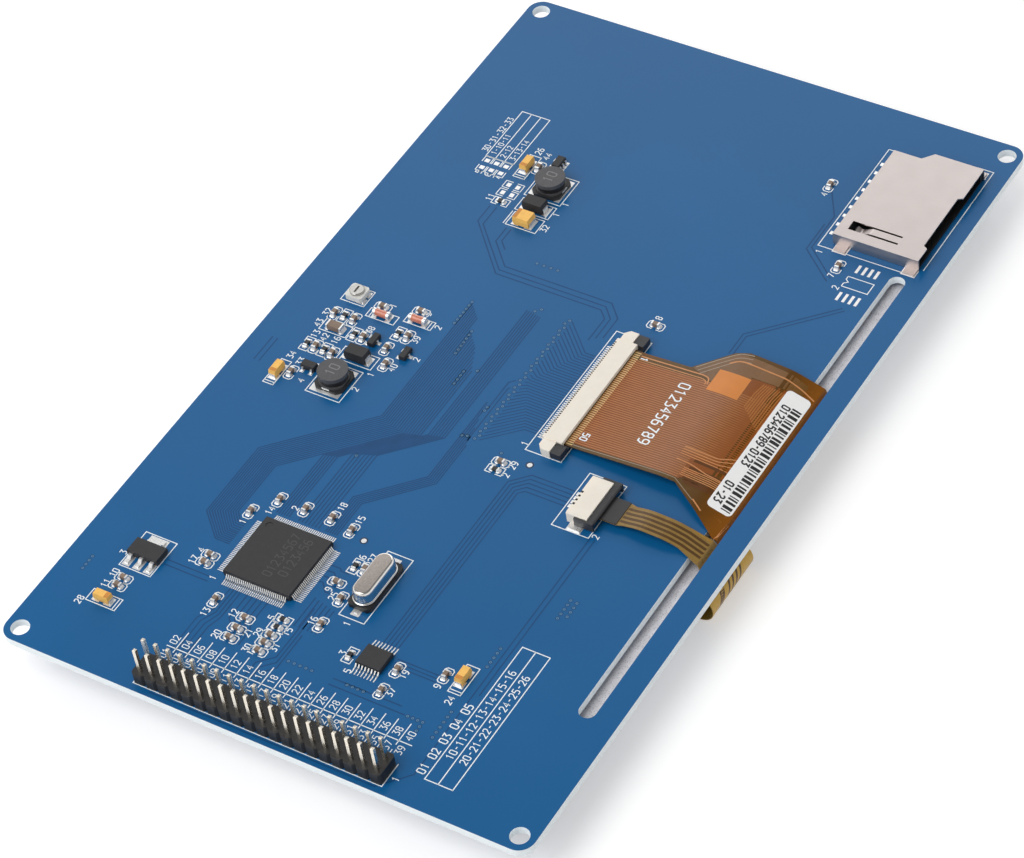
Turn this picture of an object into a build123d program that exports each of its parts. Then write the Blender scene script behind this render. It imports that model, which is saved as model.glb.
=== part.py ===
from build123d import *
import os

# 7 inch display module with a touch panel, on a carrier board with its controller.
# The touch face lies on z = 0 and faces down, the component side faces +Z.
# The long side runs along X, the pin header is at -X, the board slot along the -Y edge.
# All sizes are in millimetres.

os.makedirs("parts", exist_ok=True)

# Display outline and stack, from the touch face upwards
display_length = 165.0
display_width = 100.0
display_thickness = 4.3
display_corner_radius = 1.0
view_border_x = 5.45
view_border_y = 7.05
view_centre_y = 1.2
touch_margin = 0.5
film_margin = 0.3
touch_film_thickness = 0.2
touch_glass_thickness = 1.1
gasket_thickness = 0.2
gasket_inset = 0.5
gasket_window_margin = 0.7
tape_thickness = 0.8
tape_band = 8.0
tape_margin_x = 3.5
tape_margin_y = 5.0
sheet_metal = 0.3
bezel_skirt = 3.5
shell_skirt = 2.2
polarizer_thickness = 0.15
polarizer_border = 1.2
rear_polarizer_border = 0.3
cell_glass_thickness = 0.5
cell_border_x = 1.7
cell_border_y = 1.8
glass_ledge = 4.4
frame_lip = 0.35
frame_window_margin = 0.5
pocket_border_x = 2.5
pocket_border_y = 2.6
seat_clearance = 0.2
diffuser_thickness = 0.4
guide_thickness = 1.3
reflector_thickness = 0.15
led_count = 21
led_length = 3.0
led_depth = 1.0
led_height = 1.0
led_strip_width = 4.2
stack_clearance = 0.05

# Carrier board, which stands out past the display by a margin on each side
board_margin_x = 8.5
board_margin_y = 4.0
board_thickness = 1.6
board_corner_radius = 3.0
mount_hole_diameter = 3.5
mount_hole_inset = 3.0
slot_length = 113.7
slot_width = 3.2
slot_centre_x = -5.45
slot_from_panel_edge = 2.25

# Pin header
pin_rows = 20
header_columns = 2
pin_pitch = 2.54
pin_width = 0.64
pin_above_board = 8.0
pin_below_board = 1.6
pin_point = 0.16
header_body_height = 2.54
header_corner = 0.45
header_from_edge = 4.1
header_centre_y = 0.4

# Moulded packages. A lead's reach is from the body to its toe, a foot is its flat end.
package_lift = 0.1
lead_thickness = 0.14
fine_foot = 0.6
small_lead_pitch = 0.95
small_lead_width = 0.4
controller_size = 14.0
controller_height = 1.4
controller_pins_side = 32
controller_pitch = 0.4
controller_lead_width = 0.19
controller_lead_reach = 1.0
dimple_diameter = 1.5
dimple_depth = 0.08
dimple_inset = 1.7
touch_chip_length = 5.0
touch_chip_width = 4.4
touch_chip_height = 1.0
touch_chip_pins_side = 8
touch_chip_pitch = 0.65
touch_chip_lead_width = 0.25
touch_chip_lead_reach = 1.0
regulator_length = 6.5
regulator_width = 3.5
regulator_height = 1.25
regulator_pins = 3
regulator_pitch = 2.3
regulator_lead_width = 0.7
regulator_lead_reach = 1.75
regulator_lead_thickness = 0.28
regulator_foot = 0.9
regulator_tab_width = 3.0
diode_size = (4.3, 2.6, 2.1)
diode_lead_reach = 0.45
diode_lead_width = 1.5
diode_lead_thickness = 0.2
diode_foot = 0.35
transistor_size = (1.3, 2.9, 1.0)
transistor_lead_reach = 0.55
transistor_foot = 0.3
driver_size = (1.6, 2.9, 1.1)
driver_lead_reach = 0.6
driver_foot = 0.35

# Crystal
crystal_length = 10.6
crystal_width = 3.9
crystal_height = 3.8
crystal_edge = 0.35
crystal_base_margin_x = 0.5
crystal_base_margin_y = 0.45
crystal_base_height = 0.8
crystal_base_corner = 0.6
crystal_rim = 0.4
crystal_rim_height = 0.35
crystal_lead_reach = 0.8
crystal_lead_inner = 2.4
crystal_lead_width = 0.7

# Chips with two ends, length along X before they are turned
chip_length = 1.6
chip_width = 0.8
capacitor_height = 0.8
resistor_height = 0.45
chip_end = 0.32
chip_end_growth = 0.03
large_chip = (3.2, 1.6, 1.12)
tantalum_a = (3.2, 1.6, 1.6)
tantalum_b = (3.5, 2.8, 1.9)
tantalum_a_terminal = (1.2, 0.88)
tantalum_b_terminal = (2.1, 1.045)
tantalum_terminal_lap = 0.8
glass_diode_length = 3.5
glass_diode_radius = 0.72
glass_diode_cap = 0.55

# Power inductors
core_diameter = 5.8
core_flat_cut = 0.3
core_height = 3.0
core_flange = 0.8
core_waist_diameter = 3.2
core_lift = 0.15
winding_inset = 0.3
core_terminal_lap = 1.2
core_terminal_width = 1.6
core_terminal_rise = 0.79

# Trimmer
trimmer_length = 3.6
trimmer_width = 3.4
trimmer_height = 1.1
trimmer_corner = 0.3
trimmer_terminal_pitch = 1.9
trimmer_terminal_width = 0.9
trimmer_terminal_lap = 0.9
trimmer_terminal_rise = 0.77
rotor_diameter = 2.8
rotor_thickness = 0.5
rotor_edge = 0.1
rotor_shaft_diameter = 1.0
rotor_shaft_depth = 0.77
rotor_slot_length = 1.68
rotor_slot_width = 0.45
rotor_slot_depth = 0.28
running_clearance = 0.05

# Both flex connectors
tail_thickness = 0.2
tongue_thickness = 0.45
latch_clearance = 0.1
flex_entry_height = 1.1
flex_end_clearance = 0.3

# Display flex connector with a slide latch
lcd_ways = 50
lcd_pitch = 0.5
lcd_body_depth = 4.1
lcd_body_height = 2.0
lcd_body_end_wall = 0.5
lcd_body_back_wall = 0.6
lcd_body_corner = 0.9
lcd_ear_length = 2.6
lcd_ear_depth = 2.6
lcd_ear_shift = 0.35
lcd_ear_drop = 0.15
lcd_latch_depth = 1.1
lcd_latch_drop = 0.35
lcd_tongue_depth = 2.2
lcd_tail_length = 1.3
lcd_tail_width = 0.2

# Touch flex connector with a slide latch
touch_ways = 4
touch_pitch = 1.0
touch_body_length = 9.6
touch_body_depth = 4.2
touch_body_height = 2.4
touch_body_back_wall = 1.2
touch_body_edge = 0.2
touch_latch_depth = 1.45
touch_latch_wall = 0.45
touch_latch_edge = 0.25
touch_latch_foot = 0.4
touch_latch_drop = 0.25
touch_arm_length = 2.4
touch_tongue_depth = 1.8
touch_tail_length = 1.5
touch_tail_width = 0.35
solder_tab = (1.5, 2.4, 0.35)

# Flex circuits
flex_thickness = 0.15
stiffener_thickness = 0.15
flex_edge_clearance = 0.3
fold_bend = 0.45
slot_drop = 0.4
slot_lead_in = 0.6
ledge_lap = 2.8
ledge_bend = 0.5
flare_reach_west = 12.85
flare_reach_east = 26.8
flare_corner = 1.0
lcd_to_slot = 36.1
touch_to_slot = 22.75
touch_flex_width = 4.8
touch_flex_end_width = 5.5
touch_neck_growth = 1.2
touch_band_width = 14.1
touch_band_west = 24.15
touch_band_overhang = 0.75
touch_tail_lap = 4.1
stiffener_reach = 4.6
label_length = 30.1
label_width = 4.9
label_corner = 0.9
label_thickness = 0.1
label_shift_x = 7.6
label_from_fold = 0.35

# Card socket
card_width = 24.0
card_thickness = 2.1
card_play = 0.3
card_corner_step = 2.1
card_corner_rise = 1.8
socket_rail = 1.1
socket_depth = 17.6
socket_sheet = 0.25
socket_floor = 0.35
socket_back_wall = 1.8
socket_step_y = 3.1
socket_step_wall = 0.4
contact_pitch = 2.5
contact_count = 9
contact_width = 0.8
contact_thickness = 0.15
contact_rise = 0.15
first_contact_x = -10.9
leaf_window = (2.3, 10.2)
leaf_from_side = 3.35
leaf_foot = -3.4
leaf_width = 1.5
leaf_bend = 0.8
finger_notch = (14.5, 0.9)
finger_notch_x = -2.5
finger_notch_angle = 60
socket_tab = (1.6, 2.3, 0.25)
socket_tab_back = 2.0
socket_tab_front = 1.4

# Sizes worked out from the ones above
board_length = display_length + 2 * board_margin_x
board_width = display_width + 2 * board_margin_y
view_length = display_length - 2 * view_border_x
view_width = display_width - 2 * view_border_y
touch_length = display_length - 2 * touch_margin
touch_width = display_width - 2 * touch_margin
controller_span = controller_size + 2 * controller_lead_reach
touch_chip_span = touch_chip_width + 2 * touch_chip_lead_reach
regulator_span = regulator_width + 2 * regulator_lead_reach
diode_span = diode_size[0] + 2 * diode_lead_reach
transistor_span = transistor_size[0] + 2 * transistor_lead_reach
driver_span = driver_size[0] + 2 * driver_lead_reach
crystal_base_length = crystal_length + 2 * crystal_base_margin_x
crystal_base_width = crystal_width + 2 * crystal_base_margin_y
crystal_lead_span = crystal_base_length + 2 * crystal_lead_reach
core_flat_width = core_diameter - 2 * core_flat_cut
winding_diameter = core_diameter - 2 * winding_inset
touch_latch_length = touch_body_length + 2 * (touch_latch_wall + latch_clearance)
socket_length = card_width + card_play + 2 * socket_rail
socket_height = socket_floor + card_thickness + socket_sheet

# Levels of the stack
film_back = touch_film_thickness
touch_back = film_back + touch_glass_thickness
bezel_front = touch_back + gasket_thickness
bezel_inside = bezel_front + sheet_metal
front_glass_level = bezel_inside + polarizer_thickness
rear_glass_level = front_glass_level + cell_glass_thickness
rear_polarizer_level = rear_glass_level + cell_glass_thickness
shelf_level = rear_polarizer_level + polarizer_thickness
pocket_level = shelf_level + frame_lip
guide_level = pocket_level + diffuser_thickness
reflector_level = guide_level + guide_thickness
display_back = bezel_front + display_thickness
board_back = display_back + tape_thickness
board_top = board_back + board_thickness

# Edges and the centres of the part groups, each tied to the edge that it keeps to
west = -board_length / 2
east = board_length / 2
south = -board_width / 2
north = board_width / 2
panel_south = -display_width / 2
slot_y = panel_south + slot_from_panel_edge
slot_south = slot_y - slot_width / 2
header_spot = (west + header_from_edge, header_centre_y)
controller_spot = (west + 35.4, north - 35.9)
regulator_spot = (west + 26.75, north - 13.8)
supply_spot = (-14.7, north - 20.9)
backlight_spot = (east - 45.7, north - 31.05)
socket_spot = (east - 23.7, south + 12.7)
lcd_spot = (1.5, slot_y + lcd_to_slot)
touch_spot = (-21.05, slot_y + touch_to_slot)

# Places of the small parts from the centre of their group: x, y and turn in degrees
controller_capacitors = [
    (7.6, 11.1, 0),
    (12.15, 7.9, 0),
    (12.2, 2.4, 0),
    (12.5, -3.1, 0),
    (11.5, -7.8, 0),
    (-12.3, 5.2, 0),
    (-6.0, 11.8, 90),
    (-4.1, 11.8, 90),
    (-18.35, -1.9, 90),
    (-16.05, -1.9, 90),
    (-13.5, -2.0, 90),
    (-18.65, -8.15, 90),
    (-16.7, -8.15, 90),
    (-14.8, -8.15, 90),
    (0.3, -12.0, 90),
    (4.9, -14.9, 0),
    (-2.65, -14.7, 0),
    (-9.0, -14.7, 0),
    (-16.8, -32.15, 0),
    (-11.7, -32.15, 0),
    (-9.15, -40.3, 0),
]
controller_resistors = [
    (-12.8, -8.15, 90),
    (-10.9, -8.15, 90),
    (4.85, -12.9, 0),
    (-12.5, -23.05, 0),
]
regulator_capacitors = [(-8.45, 0.7, 90), (-6.55, 0.7, 90)]
supply_capacitors = [
    (-1.6, 8.55, 0),
    (5.8, 8.0, 0),
    (5.55, 4.2, 0),
    (14.55, 9.5, 0),
    (14.65, 5.25, 0),
    (11.45, 1.15, 0),
    (10.85, -4.3, 0),
    (15.05, -6.3, 0),
    (7.35, -6.3, 0),
    (19.7, 2.1, 90),
    (21.6, -5.1, 90),
]
supply_resistors = [
    (5.8, 9.9, 0),
    (5.8, 6.05, 0),
    (14.75, 7.4, 0),
    (11.45, 3.1, 0),
    (15.05, -4.25, 0),
]
backlight_capacitors = [(3.7, 5.05, 0)]
backlight_resistors = [(-7.15, 6.95, 90)]
lcd_capacitors = [(20.45, -1.6, 90), (-20.45, 6.55, 90)]
lcd_resistors = [(-22.4, 6.55, 90)]
socket_capacitors = [(-18.2, 5.1, 0), (0.2, 16.6, 0)]
crystal_place = (2.35, -18.8)
touch_chip_place = (-11.7, -27.55)


def on_board(group, x, y, turn=0):
    """Location on the component side, from the centre of a part group."""
    return Location((group[0] + x, group[1] + y, board_top), (0, 0, turn))


def group_places(group, places):
    """Locations on the board of a list of places in a group."""
    return [on_board(group, x, y, turn) for x, y, turn in places]


def lead_row(place, side, count, pitch):
    """Locations of a row of leads that leave a package towards the side angle."""
    row = place * Location((0, 0, 0), (0, 0, side))
    return [row * Location((0, (i - (count - 1) / 2) * pitch, 0)) for i in range(count)]


def moulded_body(length, width, height, lift, draft_angle=7):
    """Moulded package with draft both ways from a parting line at half height."""
    with BuildPart() as body:
        with BuildSketch(Plane.XY.offset(lift + height / 2)):
            Rectangle(length, width)
        extrude(amount=height / 2, both=True, taper=draft_angle)
    return body.part


def gull_wing(body_edge, toe, exit_height, foot, width, thickness=lead_thickness):
    """Bent lead from the body edge, down to a flat foot that ends at the toe."""
    heel = toe - foot
    knee = (body_edge + heel) / 2
    with BuildPart() as lead:
        with BuildSketch(Plane.XZ):
            with BuildLine():
                Polyline(
                    (body_edge, exit_height),
                    (knee, exit_height),
                    (heel, 0),
                    (toe, 0),
                    (toe, thickness),
                    (heel + thickness / 2, thickness),
                    (knee + thickness / 2, exit_height + thickness),
                    (body_edge, exit_height + thickness),
                    close=True,
                )
            make_face()
        extrude(amount=width / 2, both=True)
    return lead.part


def fine_lead(body_edge, toe, exit_height, foot, width):
    """Lead of a fine-pitch package, sloping straight down from the body edge to its foot."""
    heel = toe - foot
    with BuildPart() as lead:
        with BuildSketch(Plane.XZ):
            with BuildLine():
                Polyline(
                    (body_edge, exit_height),
                    (heel, 0),
                    (toe, 0),
                    (toe, lead_thickness),
                    (heel + lead_thickness / 2, lead_thickness),
                    (body_edge, exit_height + lead_thickness),
                    close=True,
                )
            make_face()
        extrude(amount=width / 2, both=True)
    return lead.part


def folded_terminal(inner, outer, height, width, thickness):
    """Terminal strip that lies under a body and folds up against its end."""
    with BuildPart() as terminal:
        with BuildSketch(Plane.XZ):
            with BuildLine():
                Polyline(
                    (inner, 0),
                    (outer, 0),
                    (outer, height),
                    (outer - thickness, height),
                    (outer - thickness, thickness),
                    (inner, thickness),
                    close=True,
                )
            make_face()
        extrude(amount=width / 2, both=True)
    return terminal.part


def chip_core(length, width, height):
    """Middle of a two-ended chip, standing on the board between its metal ends."""
    middle = length - 2 * chip_end
    with BuildPart() as core:
        with Locations((0, 0, chip_end_growth)):
            Box(middle, width, height, align=(Align.CENTER, Align.CENTER, Align.MIN))
    return core.part


def chip_cap(length, width, height, end):
    """One metal end of a two-ended chip, at +X."""
    with BuildPart() as cap:
        with Locations((length / 2 - end / 2, 0, 0)):
            Box(
                end,
                width + 2 * chip_end_growth,
                height + 2 * chip_end_growth,
                align=(Align.CENTER, Align.CENTER, Align.MIN),
            )
    return cap.part


def both_ends(places):
    """Each location and the same one turned half round."""
    return [place * Location((0, 0, 0), (0, 0, turn)) for place in places for turn in (0, 180)]


def strip_edge(route, bends, shift):
    """Corners and radii of a bent route, moved to its left by the shift."""
    points = [Vector(*point) for point in route]
    runs = [(end - start).normalized() for start, end in zip(points, points[1:])]
    lefts = [Vector(-run.Y, run.X) for run in runs]
    corners = [points[0] + lefts[0] * shift]
    radii = []
    for i, bend in enumerate(bends):
        mitre = (lefts[i] + lefts[i + 1]) / (1 + lefts[i].dot(lefts[i + 1]))
        corners.append(points[i + 1] + mitre * shift)
        turns_left = runs[i].cross(runs[i + 1]).Z > 0
        radii.append(bend - shift if turns_left else bend + shift)
    corners.append(points[-1] + lefts[-1] * shift)
    return corners, radii


def strip_profile(route, bends, thickness):
    """Edge-on face of a thin strip that follows a route with a bend at each inner point."""
    with BuildSketch(Plane.XY) as profile:
        with BuildLine():
            left_corners, left_radii = strip_edge(route, bends, thickness / 2)
            right_corners, right_radii = strip_edge(route, bends, -thickness / 2)
            left = FilletPolyline(*left_corners, radius=left_radii)
            right = FilletPolyline(*right_corners, radius=right_radii)
            Line(left @ 0, right @ 0)
            Line(left @ 1, right @ 1)
        make_face()
    return profile.sketch


# Main board
with BuildPart() as main_board:
    with BuildSketch(Plane.XY.offset(board_back)):
        RectangleRounded(board_length, board_width, board_corner_radius)
        hole_spacing_x = board_length - 2 * mount_hole_inset
        hole_spacing_y = board_width - 2 * mount_hole_inset
        with GridLocations(hole_spacing_x, hole_spacing_y, 2, 2):
            Circle(mount_hole_diameter / 2, mode=Mode.SUBTRACT)
        with Locations((slot_centre_x, slot_y)):
            SlotOverall(slot_length, slot_width, mode=Mode.SUBTRACT)
        with Locations(header_spot):
            with GridLocations(pin_pitch, pin_pitch, header_columns, pin_rows):
                Rectangle(pin_width, pin_width, mode=Mode.SUBTRACT)
    extrude(amount=board_thickness)
main_board.part.label = "main_board"
export_step(main_board.part, "parts/main_board.step")

# Pin header: a housing of chamfered cells, with square pins pressed through it
cell_x = header_columns * pin_pitch / 2
cell_y = pin_pitch / 2
with BuildPart() as header_housing:
    with BuildSketch(Plane.XY.offset(board_top)):
        with Locations(header_spot):
            with GridLocations(0, pin_pitch, 1, pin_rows):
                Polygon(
                    (cell_x, header_corner - cell_y),
                    (cell_x, cell_y - header_corner),
                    (cell_x - header_corner, cell_y),
                    (header_corner - cell_x, cell_y),
                    (-cell_x, cell_y - header_corner),
                    (-cell_x, header_corner - cell_y),
                    (header_corner - cell_x, -cell_y),
                    (cell_x - header_corner, -cell_y),
                )
            with GridLocations(pin_pitch, pin_pitch, header_columns, pin_rows):
                Rectangle(pin_width, pin_width, mode=Mode.SUBTRACT)
    extrude(amount=header_body_height)
header_housing.part.label = "header_housing"
export_step(header_housing.part, "parts/header_housing.step")

pin_length = pin_below_board + board_thickness + pin_above_board
with BuildPart() as pin:
    with Locations((0, 0, board_back - pin_below_board)):
        Box(pin_width, pin_width, pin_length, align=(Align.CENTER, Align.CENTER, Align.MIN))
    chamfer(pin.faces().sort_by(Axis.Z)[-1].edges(), length=pin_point)
with BuildPart() as header_pins:
    with Locations(header_spot):
        with GridLocations(pin_pitch, pin_pitch, header_columns, pin_rows):
            add(pin.part)
header_pins.part.label = "header_pins"
export_step(header_pins.part, "parts/header_pins.step")

# Controller chip: body with a round orientation dimple, and leads on all four sides
controller_place = on_board(controller_spot, 0, 0)
controller_mould = moulded_body(
    controller_size, controller_size, controller_height, package_lift
)
dimple_offset = controller_size / 2 - dimple_inset
with BuildPart() as controller_body:
    with Locations(controller_place):
        add(controller_mould)
    top = board_top + package_lift + controller_height
    with Locations((controller_spot[0] + dimple_offset, controller_spot[1] + dimple_offset, top)):
        Cylinder(
            dimple_diameter / 2,
            dimple_depth,
            align=(Align.CENTER, Align.CENTER, Align.MAX),
            mode=Mode.SUBTRACT,
        )
controller_body.part.label = "controller_body"
export_step(controller_body.part, "parts/controller_body.step")

controller_exit = package_lift + controller_height / 2 - lead_thickness / 2
controller_lead = fine_lead(
    controller_size / 2, controller_span / 2, controller_exit, fine_foot, controller_lead_width
)
controller_rows = []
for side in (0, 90, 180, 270):
    controller_rows += lead_row(
        controller_place, side, controller_pins_side, controller_pitch
    )
with BuildPart() as controller_leads:
    with Locations(*controller_rows):
        add(controller_lead)
controller_leads.part.label = "controller_leads"
export_step(controller_leads.part, "parts/controller_leads.step")

# Touch controller chip
touch_chip_at = on_board(controller_spot, *touch_chip_place)
touch_chip_mould = moulded_body(
    touch_chip_width, touch_chip_length, touch_chip_height, package_lift
)
with BuildPart() as touch_controller_body:
    with Locations(touch_chip_at):
        add(touch_chip_mould)
touch_controller_body.part.label = "touch_controller_body"
export_step(touch_controller_body.part, "parts/touch_controller_body.step")

touch_chip_exit = package_lift + touch_chip_height / 2 - lead_thickness / 2
touch_chip_lead = fine_lead(
    touch_chip_width / 2, touch_chip_span / 2, touch_chip_exit, fine_foot, touch_chip_lead_width
)
with BuildPart() as touch_controller_leads:
    touch_chip_rows = []
    for side in (0, 180):
        touch_chip_rows += lead_row(touch_chip_at, side, touch_chip_pins_side, touch_chip_pitch)
    with Locations(*touch_chip_rows):
        add(touch_chip_lead)
touch_controller_leads.part.label = "touch_controller_leads"
export_step(touch_controller_leads.part, "parts/touch_controller_leads.step")

# Regulator: three leads towards -X and a wide tab towards +X
regulator_at = on_board(regulator_spot, 0, 0)
regulator_mould = moulded_body(
    regulator_width, regulator_length, regulator_height, package_lift
)
with BuildPart() as regulator_body:
    with Locations(regulator_at):
        add(regulator_mould)
regulator_body.part.label = "regulator_body"
export_step(regulator_body.part, "parts/regulator_body.step")

regulator_exit = package_lift + regulator_height / 2 - regulator_lead_thickness / 2
regulator_lead, regulator_tab = [
    gull_wing(
        regulator_width / 2,
        regulator_span / 2,
        regulator_exit,
        regulator_foot,
        width,
        regulator_lead_thickness,
    )
    for width in (regulator_lead_width, regulator_tab_width)
]
with BuildPart() as regulator_leads:
    with Locations(*lead_row(regulator_at, 180, regulator_pins, regulator_pitch)):
        add(regulator_lead)
    with Locations(regulator_at):
        add(regulator_tab)
regulator_leads.part.label = "regulator_leads"
export_step(regulator_leads.part, "parts/regulator_leads.step")

# Crystal: drawn can with a rim, on a plastic base with two flat leads
crystal_at = on_board(controller_spot, *crystal_place)
crystal_plane = Plane(
    origin=(controller_spot[0] + crystal_place[0], controller_spot[1] + crystal_place[1], board_top)
)
can_bottom = lead_thickness + crystal_base_height
with BuildPart() as crystal_can:
    with BuildSketch(crystal_plane.offset(can_bottom)):
        SlotOverall(crystal_length, crystal_width)
    extrude(amount=crystal_height - can_bottom)
    chamfer(crystal_can.faces().sort_by(Axis.Z)[-1].edges(), length=crystal_edge)
    with BuildSketch(crystal_plane.offset(can_bottom)):
        SlotOverall(crystal_length + crystal_rim, crystal_width + 2 * crystal_rim)
    extrude(amount=crystal_rim_height)
crystal_can.part.label = "crystal_can"
export_step(crystal_can.part, "parts/crystal_can.step")

with BuildPart() as crystal_base:
    with BuildSketch(crystal_plane.offset(lead_thickness)):
        Rectangle(crystal_base_length, crystal_base_width)
    extrude(amount=crystal_base_height)
    chamfer(crystal_base.edges().filter_by(Axis.Z), length=crystal_base_corner)
crystal_base.part.label = "crystal_base"
export_step(crystal_base.part, "parts/crystal_base.step")

with BuildPart() as crystal_lead:
    with Locations((crystal_lead_inner, 0, 0)):
        Box(
            crystal_lead_span / 2 - crystal_lead_inner,
            crystal_lead_width,
            lead_thickness,
            align=(Align.MIN, Align.CENTER, Align.MIN),
        )
with BuildPart() as crystal_leads:
    with Locations(*both_ends([crystal_at])):
        add(crystal_lead.part)
crystal_leads.part.label = "crystal_leads"
export_step(crystal_leads.part, "parts/crystal_leads.step")

# Chip capacitors, with one larger one, and chip resistors
capacitor_places = (
    group_places(controller_spot, controller_capacitors)
    + group_places(regulator_spot, regulator_capacitors)
    + group_places(supply_spot, supply_capacitors)
    + group_places(backlight_spot, backlight_capacitors)
    + group_places(lcd_spot, lcd_capacitors)
    + group_places(socket_spot, socket_capacitors)
)
resistor_places = (
    group_places(controller_spot, controller_resistors)
    + group_places(supply_spot, supply_resistors)
    + group_places(backlight_spot, backlight_resistors)
    + group_places(lcd_spot, lcd_resistors)
)
large_chip_at = on_board(supply_spot, 11.3, 7.2, 90)
with BuildPart() as chip_capacitors:
    with Locations(*capacitor_places):
        add(chip_core(chip_length, chip_width, capacitor_height))
    with Locations(large_chip_at):
        add(chip_core(*large_chip))
chip_capacitors.part.label = "chip_capacitors"
export_step(chip_capacitors.part, "parts/chip_capacitors.step")

with BuildPart() as chip_resistors:
    with Locations(*resistor_places):
        add(chip_core(chip_length, chip_width, resistor_height))
chip_resistors.part.label = "chip_resistors"
export_step(chip_resistors.part, "parts/chip_resistors.step")

with BuildPart() as chip_ends:
    with Locations(*both_ends(capacitor_places)):
        add(chip_cap(chip_length, chip_width, capacitor_height, chip_end))
    with Locations(*both_ends([large_chip_at])):
        add(chip_cap(*large_chip, chip_end))
    with Locations(*both_ends(resistor_places)):
        add(chip_cap(chip_length, chip_width, resistor_height, chip_end))
chip_ends.part.label = "chip_ends"
export_step(chip_ends.part, "parts/chip_ends.step")

# Tantalum capacitors in two case sizes, marked end at -X before they are turned
small_tantalums = [
    on_board(regulator_spot, -12.1, 1.1, 90),
    on_board(controller_spot, -8.4, -43.4, 0),
    on_board(supply_spot, -2.5, 10.95, 0),
    on_board(backlight_spot, 3.1, 7.25, 0),
]
large_tantalums = [on_board(backlight_spot, -10.1, -0.1, -90)]
with BuildPart() as tantalum_bodies:
    with Locations(*small_tantalums):
        add(moulded_body(*tantalum_a, lift=lead_thickness))
    with Locations(*large_tantalums):
        add(moulded_body(*tantalum_b, lift=lead_thickness))
tantalum_bodies.part.label = "tantalum_bodies"
export_step(tantalum_bodies.part, "parts/tantalum_bodies.step")


def tantalum_terminal(size, terminal):
    """Folded terminal, of this width and rise, at one end of a tantalum capacitor."""
    half = size[0] / 2
    width, rise = terminal
    outer = half + lead_thickness
    return folded_terminal(half - tantalum_terminal_lap, outer, rise, width, lead_thickness)


with BuildPart() as tantalum_terminals:
    with Locations(*both_ends(small_tantalums)):
        add(tantalum_terminal(tantalum_a, tantalum_a_terminal))
    with Locations(*both_ends(large_tantalums)):
        add(tantalum_terminal(tantalum_b, tantalum_b_terminal))
tantalum_terminals.part.label = "tantalum_terminals"
export_step(tantalum_terminals.part, "parts/tantalum_terminals.step")

# Rectifier diodes of the two power supplies
diode_places = [on_board(supply_spot, 6.65, -0.8, 90), on_board(backlight_spot, -6.05, -0.1, 90)]
with BuildPart() as rectifier_bodies:
    with Locations(*diode_places):
        add(moulded_body(*diode_size, lift=package_lift))
rectifier_bodies.part.label = "rectifier_bodies"
export_step(rectifier_bodies.part, "parts/rectifier_bodies.step")

diode_exit = package_lift + diode_size[2] / 2 - lead_thickness
diode_lead = gull_wing(
    diode_size[0] / 2,
    diode_span / 2,
    diode_exit,
    diode_foot,
    diode_lead_width,
    diode_lead_thickness,
)
with BuildPart() as rectifier_leads:
    with Locations(*both_ends(diode_places)):
        add(diode_lead)
rectifier_leads.part.label = "rectifier_leads"
export_step(rectifier_leads.part, "parts/rectifier_leads.step")

# Glass diodes: a glass sleeve between two metal end caps, lying on the board
glass_diode_places = [on_board(supply_spot, 17.6, 0.9, 90), on_board(supply_spot, 19.2, -6.0, 90)]
cap_radius = glass_diode_radius + chip_end_growth
glass_middle = glass_diode_length - 2 * glass_diode_cap
with BuildPart() as glass_sleeve:
    with Locations((0, 0, cap_radius)):
        Cylinder(glass_diode_radius, glass_middle, rotation=(0, 90, 0))
with BuildPart() as glass_cap:
    with Locations((glass_middle / 2 + glass_diode_cap / 2, 0, cap_radius)):
        Cylinder(cap_radius, glass_diode_cap, rotation=(0, 90, 0))
with BuildPart() as glass_diodes:
    with Locations(*glass_diode_places):
        add(glass_sleeve.part)
glass_diodes.part.label = "glass_diodes"
export_step(glass_diodes.part, "parts/glass_diodes.step")
with BuildPart() as glass_diode_caps:
    with Locations(*both_ends(glass_diode_places)):
        add(glass_cap.part)
glass_diode_caps.part.label = "glass_diode_caps"
export_step(glass_diode_caps.part, "parts/glass_diode_caps.step")

# Three-lead transistors: one lead towards -Y, two towards +Y
transistor_places = [on_board(supply_spot, 11.4, -1.3, -90), on_board(supply_spot, 10.9, -8.5, -90)]
with BuildPart() as transistor_bodies:
    with Locations(*transistor_places):
        add(moulded_body(*transistor_size, lift=package_lift))
transistor_bodies.part.label = "transistor_bodies"
export_step(transistor_bodies.part, "parts/transistor_bodies.step")

transistor_exit = package_lift + transistor_size[2] / 2 - lead_thickness / 2
transistor_lead = gull_wing(
    transistor_size[0] / 2, transistor_span / 2, transistor_exit, transistor_foot, small_lead_width
)
with BuildPart() as transistor_leads:
    transistor_rows = []
    for place in transistor_places:
        transistor_rows += lead_row(place, 0, 1, small_lead_pitch)
        transistor_rows += lead_row(place, 180, 2, 2 * small_lead_pitch)
    with Locations(*transistor_rows):
        add(transistor_lead)
transistor_leads.part.label = "transistor_leads"
export_step(transistor_leads.part, "parts/transistor_leads.step")

# Boost driver chips: three leads on one side, two on the other
driver_places = [on_board(supply_spot, 0.8, 6.0, 0), on_board(backlight_spot, 6.0, 1.95, -90)]
with BuildPart() as driver_bodies:
    with Locations(*driver_places):
        add(moulded_body(*driver_size, lift=package_lift))
driver_bodies.part.label = "driver_bodies"
export_step(driver_bodies.part, "parts/driver_bodies.step")

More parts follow.
